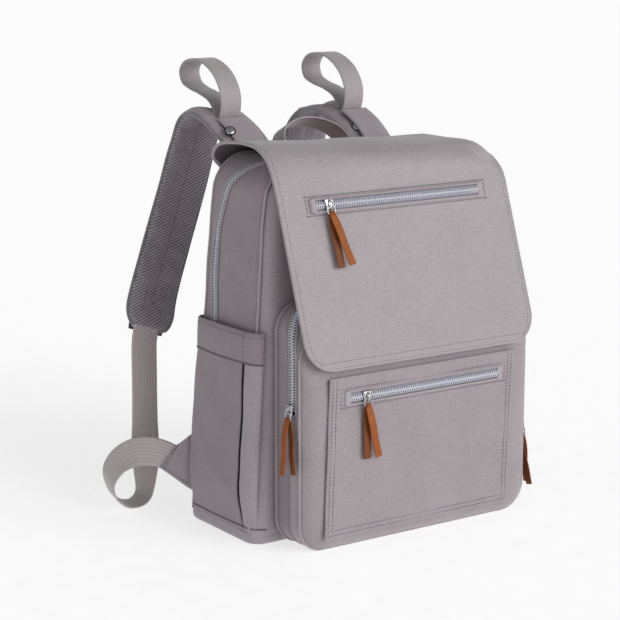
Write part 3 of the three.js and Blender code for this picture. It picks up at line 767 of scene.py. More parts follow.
def build_body():
    # base tray: rings from its upper edge round to the middle of the underside
    rings = []
    for inset, z in [(0, BASE_TOP), (0, 6), (0.7, 3), (2.5, 1), (6, 0.2), (20, 0.2), (38, 0.2),
                     (56, 0.2)]:
        half = half_width(z) - inset
        ring = rounded_loop(-half, half, FRONT + inset, back_at(z) - inset,
                            max(BACK_ROUND - inset * 0.6, 3), 160)
        rings.append(np.insert(ring, 2, z, axis=1))
    P = np.array(rings)[::-1]
    rows, columns = P.shape[:2]
    faces = quads(rows, columns, closed=True)
    faces.append(tuple(range(columns))[::-1])
    obj = make("base_tray", P.reshape(-1, 3), faces, CLOTH, P.reshape(-1, 3)[:, :2])
    attach(obj, "bag", ["base_panel"])

    z = np.arange(BASE_TOP, ZIP_LOW + 0.1, 3.88)
    # the side panels here and the gussets below take the darker fabric copy: painted shade
    for name, hand in (("left", -1), ("right", 1)):
        P = ribbon_grid(*side_line(hand, z), FRONT_SEAM, back_at(z) - BACK_LAP, 44)
        if hand < 0:
            P = P[:, ::-1]
        obj = sheet(f"{name}_side_cloth", P, 2.2, CLOTH_PAINTED_SHADE, inside=LINING)
        attach(obj, "bag", [f"{name}_side_panel"])

    P, N = outline(ZIP_LOW)
    depth = zip_depth(P[:, 1])
    rear = ribbon_grid(P, N, depth + ZIP_GAP, back_at(P[:, 1]) - BACK_LAP, 16)
    obj = sheet("rear_gusset_cloth", rear[:, ::-1], 2.2, CLOTH_PAINTED_SHADE, inside=LINING)
    attach(obj, "bag", ["rear_gusset"])
    front = ribbon_grid(P, N, FRONT_SEAM, depth - ZIP_GAP, 18)
    obj = sheet("front_gusset_cloth", front[:, ::-1], 2.2, CLOTH_PAINTED_SHADE, inside=LINING)
    attach(obj, MAIN, ["front_gusset"])

    z = np.concatenate([np.arange(BASE_TOP, SHOULDER, 4), np.linspace(SHOULDER, 369.5, 12)])
    obj = sheet("front_cloth", face_grid(z, 70), 2.2, CLOTH, inside=LINING)
    attach(obj, MAIN, ["front_panel_lower", "front_panel_upper"])

    # main zip: tape and teeth in two halves
    line = skin(P, N, depth, 0.5)
    up = surface_normals(P, N, depth)
    for name, place, hand, lo, hi in (("main_zip_rear", "bag", 1, 0.2, 6.0),
                                      ("main_zip_front", MAIN, -1, -6.0, -0.2)):
        tape = ribbon_grid(P, N, depth + lo, depth + hi, 5, -0.4)[:, ::-1]
        obj = sheet(f"{name}_tape", tape, 0.8, TAPE)
        attach(obj, place, [name])
        zip_teeth(f"{name}_teeth", line, up, -hand, place)

    # welts that hide the tape's edges, and the seam piping
    for name, place, off in (("rear_welt", "bag", 5.2), ("front_welt", MAIN, -5.2)):
        welt = skin(P, N, depth + off, 0.6)
        obj = tube(name, welt, 1.3, CLOTH, surface_normals(P, N, depth + off), 8, 0.6)
        attach(obj, place)
    for name, place, off in (("rear_welt", "bag", 8.0), ("front_welt", MAIN, -8.0)):
        line = skin(P, N, depth + off, 0.1), surface_normals(P, N, depth + off)
        stitches(f"{name}_stitches", [line], place)

    P, N = outline(BASE_TOP)
    seam = skin(P, N, np.full(len(P), FRONT_SEAM), 0.4)
    obj = tube("front_piping", seam, 1.5, CLOTH, surface_normals(P, N, FRONT_SEAM), 8)
    attach(obj, MAIN)
    seam = skin(P, N, back_at(P[:, 1]) - 12, 0.4)
    obj = tube("back_piping", seam, 1.6, CLOTH, surface_normals(P, N, back_at(P[:, 1]) - 12), 8)
    attach(obj, "bag")


def surface_normals(P, N, depth):
    """Normals of the bag's sides and top along the outline, at that depth."""
    depth = np.broadcast_to(depth, len(P))
    here = skin(P, N, depth, 0.0)
    there = skin(P, N, depth + 0.5, 0.0)
    return unit(np.cross(there - here, np.gradient(here, axis=0)))


# ---- back ----------------------------------------------------------------------------------


def build_back():
    z = np.concatenate([np.arange(BASE_TOP, SHOULDER, 5), np.linspace(SHOULDER, 374.6, 12)])
    rows = []
    for level in z:
        x = spread_columns(61, 1.4) * reach(level, 0.6)
        distance = np.clip(edge_distance(x, level), 0, BACK_ROUND)
        inset = BACK_ROUND - np.sqrt(np.maximum(BACK_ROUND**2 - (BACK_ROUND - distance) ** 2, 0))
        rows.append(np.stack([x, back_at(level) - inset, np.full(len(x), level)], 1))
    P = np.array(rows)[:, ::-1]
    obj = sheet("back_cloth", P, 2.6, CLOTH, inside=LINING)
    attach(obj, "bag", ["back_panel", "back_foam"])
    for name, side in (("left", -1), ("right", 1)):
        build_back_pad(f"back_pad_{name}", side * 62.0)
    yoke = []
    for level in np.linspace(304, 348, 12):
        x = np.linspace(114, -114, 40)
        y = back_at(level) + 2.4 + 1.2 * math.sin(math.pi * (level - 304) / 44)
        yoke.append(np.stack([x, np.full(40, y), np.full(40, level)], 1))
    obj = sheet("yoke_cloth", np.array(yoke), 2.0, CLOTH)
    attach(obj, "bag", ["strap_yoke"])


def build_back_pad(name, middle, half=46.0, low=34.0, high=292.0, corner=22.0):
    """A padded mesh column on the back, sewn across at mid height."""
    ring = rounded_loop(middle - half, middle + half, low, high, corner, 180)
    centre = np.array([middle, (low + high) / 2])
    rows = []
    for share, lift in ((0.02, 0), (0.5, 0), (0.97, 0), (1.0, 2.0), (0.97, 4.2), (0.85, 6.0),
                        (0.5, 6.6), (0.02, 6.8)):
        xz = centre + (ring - centre) * share
        rows.append(np.stack([xz[:, 0], back_at(xz[:, 1]) + 0.2 + lift, xz[:, 1]], 1))
    P = np.array(rows)
    faces = quads(len(rows), P.shape[1], closed=True, flip=True)
    faces.append(tuple(range(P.shape[1])))
    faces.append(tuple(range((len(rows) - 1) * P.shape[1], len(rows) * P.shape[1]))[::-1])
    obj = make(name, P.reshape(-1, 3), faces, MESH)

    def sewn(points):
        x, depth, z = points.T
        inside = np.minimum(half - np.abs(x - middle), np.minimum(z - low, high - z))
        rear = depth < back_at(z) + 2.0
        seam = (np.abs(z - 165) < 2.6) | (np.abs(x - middle) < 1.8)
        return (rear | (inside < 2.5) | seam).astype(float)

    stuffed(obj, sewn, 6.0, voxel=4.5)
    points = coordinates(obj.data)
    write_uv(obj.data, points[:, [0, 2]])
    attach(obj, "bag")
    z = np.linspace(low + 6, high - 6, 90)
    upright = np.stack([np.full(90, middle), back_at(z) + 40, z], 1)
    x = np.linspace(middle - half + 5, middle + half - 5, 40)
    level = np.stack([x, np.full(40, 120.0), np.full(40, 165.0)], 1)
    lines = [cast(obj, one, (0, -1, 0)) for one in (upright, level)]
    stitches(f"{name}_stitches", lines, "bag")


# ---- front pocket --------------------------------------------------------------------------

POCKET = np.array([
    # distance ahead of the bag's middle, half width, bottom, top, corner radius
    [47, 140, 1.5, 241, 28],
    [60, 141, 1.2, 241.5, 28],
    [72, 141.5, 1.2, 241, 28],
    [84, 141.4, 1.3, 235, 28],
    [91, 140.8, 1.6, 223, 27],
    [97, 138.0, 3.2, 205, 26],
    [101.5, 132, 6.5, 187, 24],
    [104.8, 124, 11.5, 174, 20],
    [106.2, 114, 19, 166, 17],
])


def pocket_ring(distance, shrink=0.0):
    """The pocket's outline at that distance ahead, from the middle of its underside."""
    half, low, high, r = (float(np.interp(distance, POCKET[:, 0], column))
                          for column in POCKET.T[1:])
    half, low, high = half - shrink, low + shrink, high - shrink
    r = min(max(r - shrink * 0.3, 1.0), (high - low) / 2 - 0.5, half - 0.5)
    x0, x1 = -(half - r), half - r
    z0, z1 = low + r, high - r
    ring = []

    def arc(cx, cz, start):
        for a in np.radians(np.linspace(start, start - 90, 19)):
            ring.append([cx + r * math.cos(a), cz + r * math.sin(a)])

    def line(a, b, n):
        for t in np.linspace(0, 1, n + 1)[1:-1]:
            ring.append([a[0] + (b[0] - a[0]) * t, a[1] + (b[1] - a[1]) * t])

    n_side, n_flat = 34, 50
    line((0, low), (x0, low), n_flat // 2)
    arc(x0, z0, 270)
    line((x0 - r, z0), (x0 - r, z1), n_side)
    arc(x0, z1, 180)
    line((x0, high), (x1, high), n_flat)
    arc(x1, z1, 90)
    line((x1 + r, z1), (x1 + r, z0), n_side)
    arc(x1, z0, 0)
    line((x1, low), (0, low), n_flat // 2)
    ring.append([0, low])
    return np.array(ring)


RING = len(pocket_ring(60))
# the step to both sides of a line that its cloth's direction is taken from
NEAR = 0.4
# heights, and how far ahead the pocket's zip runs there
POCKET_ZIP = np.array([[-12, 85], [203, 85], [218, 82], [234, 74], [270, 61]])


def pocket_zip_distance():
    """Distance ahead of the zip line for each point around the pocket."""
    ring = pocket_ring(84)
    return np.interp(ring[:, 1], POCKET_ZIP[:, 0], POCKET_ZIP[:, 1])


def pocket_surface(distances):
    """Points for a table of distances, one row per ring and one column per point around."""
    rows = []
    levels = np.linspace(47, 106.2, 60)
    rings = np.array([pocket_ring(d) for d in levels])
    for row in distances:
        index = np.interp(row, levels, np.arange(60))
        low = np.clip(index.astype(int), 0, 58)
        t = (index - low)[:, None]
        column = np.arange(RING)
        xz = rings[low, column] * (1 - t) + rings[low + 1, column] * t
        rows.append(np.stack([xz[:, 0], -row, xz[:, 1]], 1))
    return np.array(rows)


def pocket_line(at, closed=False):
    """Points round the pocket that far ahead, and the normals of its face there."""
    at = np.broadcast_to(at, RING)
    rows = pocket_surface(np.stack([at - NEAR, at, at + NEAR]))
    if closed:
        rows = np.concatenate([rows, rows[:, :1]], 1)
    return rows[1], grid_normals(rows)[1]


# a line across the pocket's front that drops to the right
FOLD_AXIS = unit(np.array([60.0, 0.0, 280.0]))
FOLD_AT = np.array([0.0, -0.1076, 0.108])
POCKET_FRONT = ("bag", "pocket_front", tuple(FOLD_AT - FOLD_AXIS * 0.010),
                tuple(FOLD_AT + FOLD_AXIS * 0.010))
FACE_AHEAD = 106.2
PATCH_HALF, PATCH_LOW, PATCH_HIGH, PATCH_SKEW = 114.0, 15.0, 174.0, 6.0


def fold_height(x):
    return 108 - 60 / 280 * x


def patch_shift(z):
    """How far the patch lies to the left at that height."""
    return PATCH_SKEW * (PATCH_HIGH - z) / (PATCH_HIGH - PATCH_LOW)


def build_pocket():
    zip_at = pocket_zip_distance()
    share = np.linspace(0, 1, 14)[:, None]
    gusset = pocket_surface(47 + (zip_at - ZIP_GAP - 47) * share)
    closed = np.concatenate([gusset, gusset[:, :1]], 1)
    # the pocket's gusset takes the darker fabric copy: painted shade
    obj = sheet("pocket_gusset_cloth", closed, 2.0, CLOTH_PAINTED_SHADE, inside=LINING, open_sides="lr")
    attach(obj, "bag", ["pocket_gusset"])

    # front: from the zip round to the face, then rings that shrink to the middle
    rows = [pocket_surface(zip_at + ZIP_GAP + (FACE_AHEAD - zip_at - ZIP_GAP) * share)]
    for shrink in np.concatenate([np.arange(3, 72, 4), [72.5]]):
        xz = pocket_ring(FACE_AHEAD, shrink)
        crown = 0.4 + 0.9 * math.sin(min(shrink / 60, 1) * math.pi / 2)
        y = np.full(RING, -FACE_AHEAD - crown * 0.6)
        rows.append(np.stack([xz[:, 0], y, xz[:, 1]], 1)[None])
    P = np.concatenate(rows, 0)
    P = np.concatenate([P, P[:, :1]], 1)
    # the pocket front takes the darker fabric copy: painted shade
    obj = sheet("pocket_front_cloth", P, 1.8, POCKET_CLOTH_SHADED, inside=LINING, open_sides="lrt",
                uv=P[..., [0, 2]])
    attach(obj, POCKET_FRONT, ["pocket_front_lower", "pocket_front_upper"])

    # piped seams round the gusset, and topstitching beside them
    for name, place, at in (("pocket_front_seam", POCKET_FRONT, 93.5),
                            ("pocket_rear_seam", "bag", 56.0)):
        line, normals = pocket_line(at, closed=True)
        seam = tube(name, line + normals * 0.5, 1.5, CLOTH, normals, 8, 0.9)
        attach(seam, place)
    stitches("pocket_rear_seam_stitches", [pocket_line(60.5)], "bag")

    # below the zip's ends a plain strip closes the pocket's side and underside
    ring = pocket_surface(zip_at[None, :])[0]
    low = np.flatnonzero(ring[:, 2] < fold_height(ring[:, 0]) + 3)
    share = np.linspace(0, 1, 5)[:, None]
    strip = pocket_surface(zip_at - 5.5 + 11 * share)
    around = np.concatenate([strip[:, low[low >= RING // 2]], strip[:, low[low < RING // 2]]], 1)
    normal = grid_normals(around)
    obj = sheet("pocket_closed_strip", around - normal * 0.3, 1.2, CLOTH)
    attach(obj, "bag")

    # zip from the left fold over the top to the right fold
    index = np.flatnonzero(ring[:, 2] > fold_height(ring[:, 0]))
    middle, facing = pocket_line(zip_at)
    for name, place, hand, lo, hi in (("pocket_zip_rear", "bag", 1, -5.5, -0.2),
                                      ("pocket_zip_front", POCKET_FRONT, -1, 0.2, 5.5)):
        tape = pocket_surface(zip_at + lo + (hi - lo) * share)[:, index]
        normal = grid_normals(tape)
        obj = sheet(f"{name}_tape", tape - normal * 0.5, 0.8, TAPE)
        attach(obj, place, [name])
        line = middle[index] + facing[index] * 0.3
        zip_teeth(f"{name}_teeth", line, facing[index], -hand, place)
    for name, place, off in (("pocket_rear_welt", "bag", -5.2),
                             ("pocket_front_welt", POCKET_FRONT, 5.2)):
        line, normals = (part[index] for part in pocket_line(zip_at + off))
        obj = tube(name, line + normals * 0.4, 1.2, CLOTH, normals, 8, 0.7)
        attach(obj, place)
        stitches(f"{name}_stitches", [pocket_line(zip_at + off * 1.6)], place)

    # the stitched patch; its welted zip is made in build_hardware
    x = np.linspace(-PATCH_HALF, PATCH_HALF, 58)
    rows = []
    for level in np.append(np.arange(PATCH_LOW, PATCH_HIGH, 4), PATCH_HIGH):
        y = -108.1 - 0.35 * math.sin(level * 0.08) - 0.3 * np.cos(x * 0.05)
        rows.append(np.stack([x - patch_shift(level), y, np.full(58, level)], 1))
    obj = sheet("patch_cloth", np.array(rows), 1.3, POCKET_CLOTH_SHADED)
    attach(obj, POCKET_FRONT, ["patch_lower", "patch_upper"])
    edge = []
    level = np.linspace(PATCH_LOW + 3.5, PATCH_HIGH - 3.5, 60)
    y = np.full(60, -108.5)
    for inset in (3.5, 8.0):
        half = PATCH_HALF - inset
        edge.append(np.stack([np.linspace(-half, half, 60) - PATCH_SKEW, y,
                              np.full(60, PATCH_LOW + inset)], 1))
        for hand in (-1, 1):
            edge.append(np.stack([hand * half - patch_shift(level), y, level], 1))
    stitches("patch_stitches", [(e, (0, -1, 0)) for e in edge], POCKET_FRONT)


def slash_zip(name, centre, half, lean, place, node):
    """A straight zip in a sewn frame: welts, tape, teeth and stitching, on a leaning face."""
    up = np.array([0.0, math.sin(lean), math.cos(lean)])
    out = np.array([0.0, -math.cos(lean), math.sin(lean)])
    centre = np.array(centre, float)

    def at(x, u, o):
        x, u = np.broadcast_arrays(np.asarray(x, float), np.asarray(u, float))
        return centre + x[..., None] * [1, 0, 0] + u[..., None] * up + out * o

    x = np.linspace(-half + 3, half - 3, 60)
    rows = np.array([at(x, u, -0.2) for u in np.linspace(-6, 6, 5)])
    obj = sheet(f"{name}_tape", rows, 0.8, TAPE)
    attach(obj, place, [node])
    line = at(x, 0, 0.5)
    for hand, tag in ((1, "upper"), (-1, "lower")):
        zip_teeth(f"{name}_teeth_{tag}", line, out, -hand, place)
    # the slot's folded lips, which rise from the cloth
    lip = [(8.2, -1.6), (7.2, 0.1), (6.4, 0.8), (5.8, 0.9), (5.3, 0.3), (5.2, -0.6)]
    x = np.linspace(-half, half, 60)
    for hand, tag in ((1, "top"), (-1, "bottom")):
        rows = np.array([at(x, hand * u, o) for u, o in lip])
        attach(sheet(f"{name}_lip_{tag}", rows, 0.8, CLOTH_WELT), place)
        # a thin dark thread-coloured tube along each lip's inner edge: painted shadow in the gap
        # under the lip
        painted_shadow = tube(f"{name}_groove_{tag}", at(x, hand * 5.2, 0.0), 0.5, THREAD, out, 6)
        attach(painted_shadow, place)
    for hand, tag in ((1, "right"), (-1, "left")):
        rows = np.array([at(hand * (half + b), np.linspace(-6.8, 6.8, 8), o - 0.1)
                         for b, o in ((3.2, -1.4), (2.0, 0.6), (0, 1.2), (-3.5, 1.2), (-4.2, 0))])
        attach(sheet(f"{name}_lip_{tag}", rows, 0.8, CLOTH_WELT), place)
    wide, high = half + 6.5, 9.4
    corners = [(-wide, -high), (wide, -high), (wide, high), (-wide, high), (-wide, -high)]
    box_line = np.array([at(a, b, -0.9) for a, b in corners])
    parts = [(resample(box_line[k:k + 2], 30), out) for k in range(4)]
    stitches(f"{name}_stitches", parts, place, pitch=3.0)


# ---- flap ----------------------------------------------------------------------------------

FLAP_HALF = 139.0
FLAP_HEM = 184.0
FLAP_CORNER = 28.0
# how much the flap's front leans: depth for a millimetre of height
FLAP_LEAN = 0.346
# (depth, height) from the sewn root on the back over the top to the hem
FLAP_LINE = curve([[61.5, 350], [62, 364], [59, 374.5], [52, 382.3], [44, 386], [20, 389.3],
                   [-4, 389.6], [-22, 387], [-36, 380.5], [-46, 370], [-55, 350], [-69, 310],
                   [-89.5, 250], [-112.5, FLAP_HEM]], 150)
CROWN = ("flap_crown", "flap_front", (0, -0.033, 0.385), (0, -0.043, 0.374))
ROOT = ("bag", "flap_crown", (0, 0.0600, 0.374), (0, 0.046, 0.386))


def bag_top(x, y):
    """Height of the bag's top under a point of the flap."""
    over = np.clip(np.abs(x) - (half_width(SHOULDER) - SHOULDER_ROUND), 0, SHOULDER_ROUND - 0.1)
    radius = float(front_round(TOP))
    front = np.clip((FRONT + radius - y) / radius, 0, 0.995)
    rear = np.clip((y - (back_at(TOP) - BACK_ROUND)) / BACK_ROUND, 0, 0.995)
    inset = radius * (1 - np.sqrt(1 - front**2)) + BACK_ROUND * (1 - np.sqrt(1 - rear**2))
    return SHOULDER + np.sqrt(SHOULDER_ROUND**2 - over**2) - inset


def flap_grid(first, last, off=0.0, edge=0.0):
    """The flap's outer face between two steps of its line, `edge` narrower on each side."""
    line = FLAP_LINE
    tangent = unit(np.gradient(line, axis=0))
    normal = np.stack([-tangent[:, 1], tangent[:, 0]], 1)
    normal *= -1 if normal[75, 0] > 0 else 1
    rows = []
    for k in range(first, last):
        y, z = line[k] + normal[k] * off
        front = y < -36
        half = FLAP_HALF - edge
        if front and z < FLAP_HEM + FLAP_CORNER:
            drop = FLAP_HEM + FLAP_CORNER - z
            half = FLAP_HALF - FLAP_CORNER + math.sqrt(max(FLAP_CORNER**2 - drop**2, 0)) - edge
        x = np.linspace(-half, half, 80)
        # the top sinks towards the right, and its front edge comes ahead as it sinks
        high = smoothstep((z - 340) / 42)
        lead = 1.15 * (5.0 + 0.045 * np.minimum(x, 95)) * high * smoothstep((-14 - y) / 22)
        lead = lead * (1 - 0.5 * smoothstep((x - 95) / 44))
        sink = (5.0 + 0.045 * x) * high
        sink = sink + 10.0 * smoothstep((x - 92) / 60) * smoothstep((z - 335) / 46)
        tuck = 15 * smoothstep((374 - z) / 20) * (y > 30) * x / half
        tuck = tuck * smoothstep((abs(x) - 80) / 50)
        wave = 0.7 * np.sin(x * 0.028 + 0.6) * np.sin(z * 0.02) + 0.4 * np.sin(x * 0.06 + z * 0.035)
        wave = wave * smoothstep((FLAP_HALF - np.abs(x)) / 30)
        if front:
            wave = wave * (1 - 0.9 * math.exp(-(((z - 333) / 20) ** 2)))
        level = z - sink + normal[k, 1] * wave
        if -46 < y < 54:
            clear = 4.8 + 0.8 * math.exp(-(((y + 15) / 14) ** 2))
            level = np.maximum(level, bag_top(x, y - lead) + clear)
        rows.append(np.stack([x - tuck, y - lead + normal[k, 0] * wave, level], 1))
    return np.array(rows)


def build_flap():
    middle = int(np.argmin(np.abs(FLAP_LINE[:, 0] - 10) + 1e3 * (FLAP_LINE[:, 1] < 380)))
    P = flap_grid(0, middle + 1)
    obj = sheet("flap_back_cloth", P[:, ::-1], 2.6, CLOTH_FLAP, inside=LINING, open_sides="t")
    attach(obj, ROOT, ["flap_root"])
    Q = flap_grid(middle, len(FLAP_LINE))
    obj = sheet("flap_cloth", Q[:, ::-1], 2.6, CLOTH_FLAP, inside=LINING, open_sides="b")
    attach(obj, CROWN, ["flap_crown", "flap_front"])
    facing = grid_normals(P)
    for side, column in (("right", 0), ("left", -1)):
        hem = tube(f"flap_back_hem_{side}", P[:, column] + [0, 0, -1.2], 1.7, CLOTH_FLAP,
                   facing[:, column], 8)
        attach(hem, ROOT)
    inset = flap_grid(middle, len(FLAP_LINE) - 3, edge=4.2, off=0.1)
    normal = grid_normals(flap_grid(middle, len(FLAP_LINE) - 3)[:, ::-1])[:, ::-1]
    lines = [(inset[:, 0], normal[:, 0]), (inset[:, -1], normal[:, -1]), (inset[-1], normal[-1])]
    stitches("flap_stitches", lines, CROWN)
    edge, facing = (np.concatenate([grid[:-1, 0], grid[-1], grid[:-1, -1][::-1]])
                    for grid in (Q, grid_normals(Q)))
    facing = facing * np.sign(np.sum(facing * (edge - MIDDLE), axis=1, keepdims=True))
    hem = tube("flap_hem", edge - facing * 1.2, 1.7, CLOTH_FLAP, facing, 8)
    attach(hem, CROWN)


# ---- sliders, rings and leather ------------------------------------------------------------


def turned(points, origin, basis):
    """Points of a slider's own frame (x across, y into the cloth, z up) in the bag's."""
    return np.asarray(points, float) @ np.asarray(basis, float) + np.asarray(origin, float)


def block(size, centre):
    verts, faces = template("block", size, 2)
    return verts + centre, faces


def slider_parts():
    """A zip slider: plate, nose and the bridge that the ring hangs on."""
    plate = block((8.2, 2.2, 10.2), [0, -1.2, 0])
    nose = block((9.4, 1.8, 4.0), [0, -1.3, 3.2])
    path = [[0, -2.0, -4.5], [0, -4.2, -4.0], [0, -4.9, -1.5], [0, -4.7, 1.5], [0, -2.2, 4.2]]
    v, f, _ = sweep(curve(path, 16), (1, 0, 0.01), flat_profile(0.9, 0.9, 3) * [1, 2.6])
    return joined([plate, nose, (v, f)])


def ring_parts(width=8.6, length=8.2, wire=0.62):
    """A squarish wire ring."""
    angle = np.linspace(0, 2 * math.pi, 40, endpoint=False)
    x, z = (size / 2 * np.sign(part) * np.abs(part) ** 0.55
            for size, part in ((width, np.cos(angle)), (length, np.sin(angle))))
    points = np.stack([x, np.zeros(40), z - length / 2 + 0.8], 1) + [0, -3.1, -2.5]
    points = np.vstack([points, points[:1]])
    v, f, _ = sweep(points, (0, 1, 0), round_profile(wire, 8), None, True)
    return v, f


def leaf(swing, lean, length, flip):
    """One half of the folded leather pull, hanging from the ring's bar: line and widths."""
    t = np.linspace(0, 1, 22)
    y = flip * (1.4 * np.sin(math.pi * np.minimum(t * 1.6, 1)) + 0.9 + lean * t * 6)
    x = np.sin(math.radians(swing)) * length * t**1.1
    z = -length * t * math.cos(math.radians(swing))
    return np.stack([x, y, z], 1), 0.86 + 0.14 * smoothstep(t * 5)


def build_pull(name, origin, basis, slider_body, pull_body, nodes, ring_body=None, length=53.0,
               leaves=((12.5, -1, 0.3), (0.5, 1, 0.1))):
    """A slider, its ring and a folded leather strip of two leaves (swing, side, lean)."""
    slider_node, ring_node, leather_node = nodes
    v, f = slider_parts()
    obj = make(f"{name}_slider_metal", turned(v, origin, basis), f, STEEL)
    attach(obj, slider_body, [slider_node])
    v, f = ring_parts()
    obj = make(f"{name}_ring_metal", turned(v, origin, basis), f, STEEL)
    attach(obj, ring_body or pull_body, [ring_node])
    bar = np.array([0, -3.1, -9.4])
    parts = []
    for swing, flip, lean in leaves:
        centre, wide = leaf(swing, lean, length, flip)
        v, f, _ = sweep(bar + centre, (0, flip, 0.05), flat_profile(8.4, 1.4, 6), wide)
        # the rear leaf takes the darker leather copy: painted shade
        if flip > 0:
            obj = make(f"{name}_leather_rear", turned(v, origin, basis), f, LEATHER_SHADE)
            attach(obj, pull_body)
        else:
            parts.append((v, f))
    # the fold over the ring's bar
    angle = np.linspace(-0.2, math.pi + 0.2, 12)
    fold = bar + np.stack([np.zeros(12), 1.5 * np.cos(angle), 1.5 * np.sin(angle) + 0.2], 1)
    profile = [[-0.65, -2.7], [-0.65, 2.7], [0.65, 2.7], [0.65, -2.7]]
    parts.append(sweep(fold, (1, 0, 0), profile)[:2])
    v, f = joined(parts)
    obj = make(f"{name}_leather_strip", turned(v, origin, basis), f, LEATHER)
    bevel = obj.modifiers.new("soft_edges", "BEVEL")
    bevel.width = 0.0002
    bevel.segments = 1
    attach(obj, pull_body, [leather_node])


def build_hardware():
    slope = math.atan(FLAP_LEAN)
    centre = np.array([0, -54.5 - FLAP_LEAN * 17, 333.0])
    out = np.array([0, -math.cos(slope), math.sin(slope)])
    slash_zip("flap_zip", centre + out * 2.5, 103.0, slope, "flap_front", "flap_zip")
    slash_zip("patch_zip", [0, -109.0, 153.0], 95.0, 0.0, "pocket_front", "patch_zip")
    lean = np.array([[1, 0, 0], -out, np.cross([1.0, 0, 0], -out)])
    at = centre + out * (2.5 + 1.6) + np.array([-86.0, 0, 0])
    build_pull("flap_pull", at, lean, "flap_slider", "flap_pull",
               ("flap_pull_slider", "flap_pull_ring", "flap_pull_leather"))
    build_pull("patch_pull", [-73, -110.1, 153], np.eye(3), "patch_slider", "patch_pull",
               ("patch_pull_slider", "patch_pull_ring", "patch_pull_leather"), "patch_ring")
    for name, side in (("left_pocket", -1), ("right_pocket", 1)):
        low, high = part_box(f"{name}_pull_slider")
        z = (low.z + high.z) / 2 / MM + 0.5
        basis = np.array([[0, side, 0], [-side, 0, 0], [0, 0, 1.0]])
        build_pull(f"{name}_pull", [side * 144.2, -85, z], basis, f"{name}_slider", f"{name}_pull",
                   (f"{name}_pull_slider", f"{name}_pull_ring", f"{name}_pull_leather"),
                   leaves=((1.5, -1, 1.2), (-side * 12.5, 1, -0.4)))
    for name, side in (("left_main", -1), ("right_main", 1)):
        loop = curve([[side * 5, -19, 376.6], [side * 8, -19, 377.0], [side * 13, -19, 376.9],
                      [side * 15, -19, 376.3]], 10)
        lv, lf, _ = sweep(loop, (0, 1, 0), round_profile(0.6, 6))
        v, f = joined([block((10, 8, 2.4), [side * 9, -19, 376.0]), (lv, lf)])
        obj = make(f"{name}_slider_metal", v, f, STEEL)
        attach(obj, f"{name}_slider", [f"{name}_slider"])
        x = np.linspace(14.5, 34.5, 20)
        line = np.stack([side * x, np.full(20, -19.0), 376.3 - 1.2 * smoothstep((x - 16) / 18)], 1)
        wide = 0.75 + 0.25 * smoothstep((x - 14.5) / 8)
        obj = ribbon(f"{name}_tab_leather", line, (0, 0, 1), 8, 1.1, LEATHER, wide, 5)
        attach(obj, f"{name}_slider", [f"{name}_tab"])


# ---- side pockets --------------------------------------------------------------------------


def build_side_pockets():
    for name, hand in (("left", -1), ("right", 1)):
        def panel(z, y0, y1, columns, off):
            """Grid over the side at heights z, from depth y0 to y1, lifted by off(z, y)."""
            y0 = np.broadcast_to(y0, len(z))
            y = y0[:, None] + (y1 - y0)[:, None] * np.linspace(0, 1, columns)
            P = skin(*(np.broadcast_to(part[:, None], (len(z), columns, 2))
                       for part in side_line(hand, z)), y, off(z[:, None], y))
            return P[:, ::-1] if hand < 0 else P

        def rear(z):
            return back_at(z) - 4

        def outward(normals):
            return normals * hand * np.sign(np.mean(normals[:, 0]))

        def off(z, y):
            back = smoothstep((back_at(z) - 2 - y) / 12)
            front = smoothstep((y + 52) / 9)
            belly = 1.5 * np.sin(math.pi * np.clip((y + 30) / 100, 0, 1))
            sag = np.sin(math.pi * np.clip((z - 15) / 185, 0, 1))
            return (7.0 + belly * sag) * back * front * smoothstep((z - 6) / 60)

        def band_off(z, y):
            roll = 0.9 * np.sin(math.pi * np.clip((z - 180) / 34, 0, 1)) ** 0.5
            return off(np.minimum(z, 180), y) + roll

        def level_line(level, offset, start=-46.0):
            """A line along the pouch at one height, and its normals."""
            z = level + np.array([-NEAR, 0, NEAR])
            line = panel(z, start, rear(z), 60, offset)
            return line[1], outward(grid_normals(line)[1])

        z = np.concatenate([np.arange(13, 183, 3.5), [183.0]])
        P = panel(z, -28.6, rear(z), 40, off)
        # the pouches and bands take the darker fabric copy: painted shade
        body = sheet(f"{name}_pouch_cloth", P, 1.8, CLOTH_PAINTED_SHADE, inside=LINING)
        attach(body, "bag", [f"{name}_side_pocket"])
        P = panel(z, -46.0, np.full(len(z), -33.5), 10, off)
        strip = sheet(f"{name}_pouch_strip", P, 1.8, CLOTH, inside=LINING)
        attach(strip, "bag")
        z = np.linspace(182, 212, 11)
        P = panel(z, -46.0, rear(z), 60, band_off)
        band = sheet(f"{name}_band_cloth", P, 2.0, CLOTH_PAINTED_SHADE, inside=LINING)
        attach(band, "bag", [f"{name}_pocket_band"])
        line, normals = level_line(181.6, band_off)
        seam = tube(f"{name}_band_seam", line + normals * 0.3, 0.7, THREAD, normals, 6)
        attach(seam, "bag")
        line, normals = level_line(208.0, band_off)
        seams = [(line + normals * 0.1, normals)]
        upright = panel(np.linspace(184, 211, 12), -31.4, np.full(12, -30.6), 3, band_off)
        normals = outward(grid_normals(upright)[:, 1])
        seams.append((upright[:, 1] + normals * 0.1, normals))
        stitches(f"{name}_band_stitches", seams, "bag")
        line, normals = level_line(17.0, off, -50.0)
        seam = tube(f"{name}_base_seam", line + normals * 0.2, 0.7, THREAD, normals, 6)
        attach(seam, "bag")


# ---- straps --------------------------------------------------------------------------------

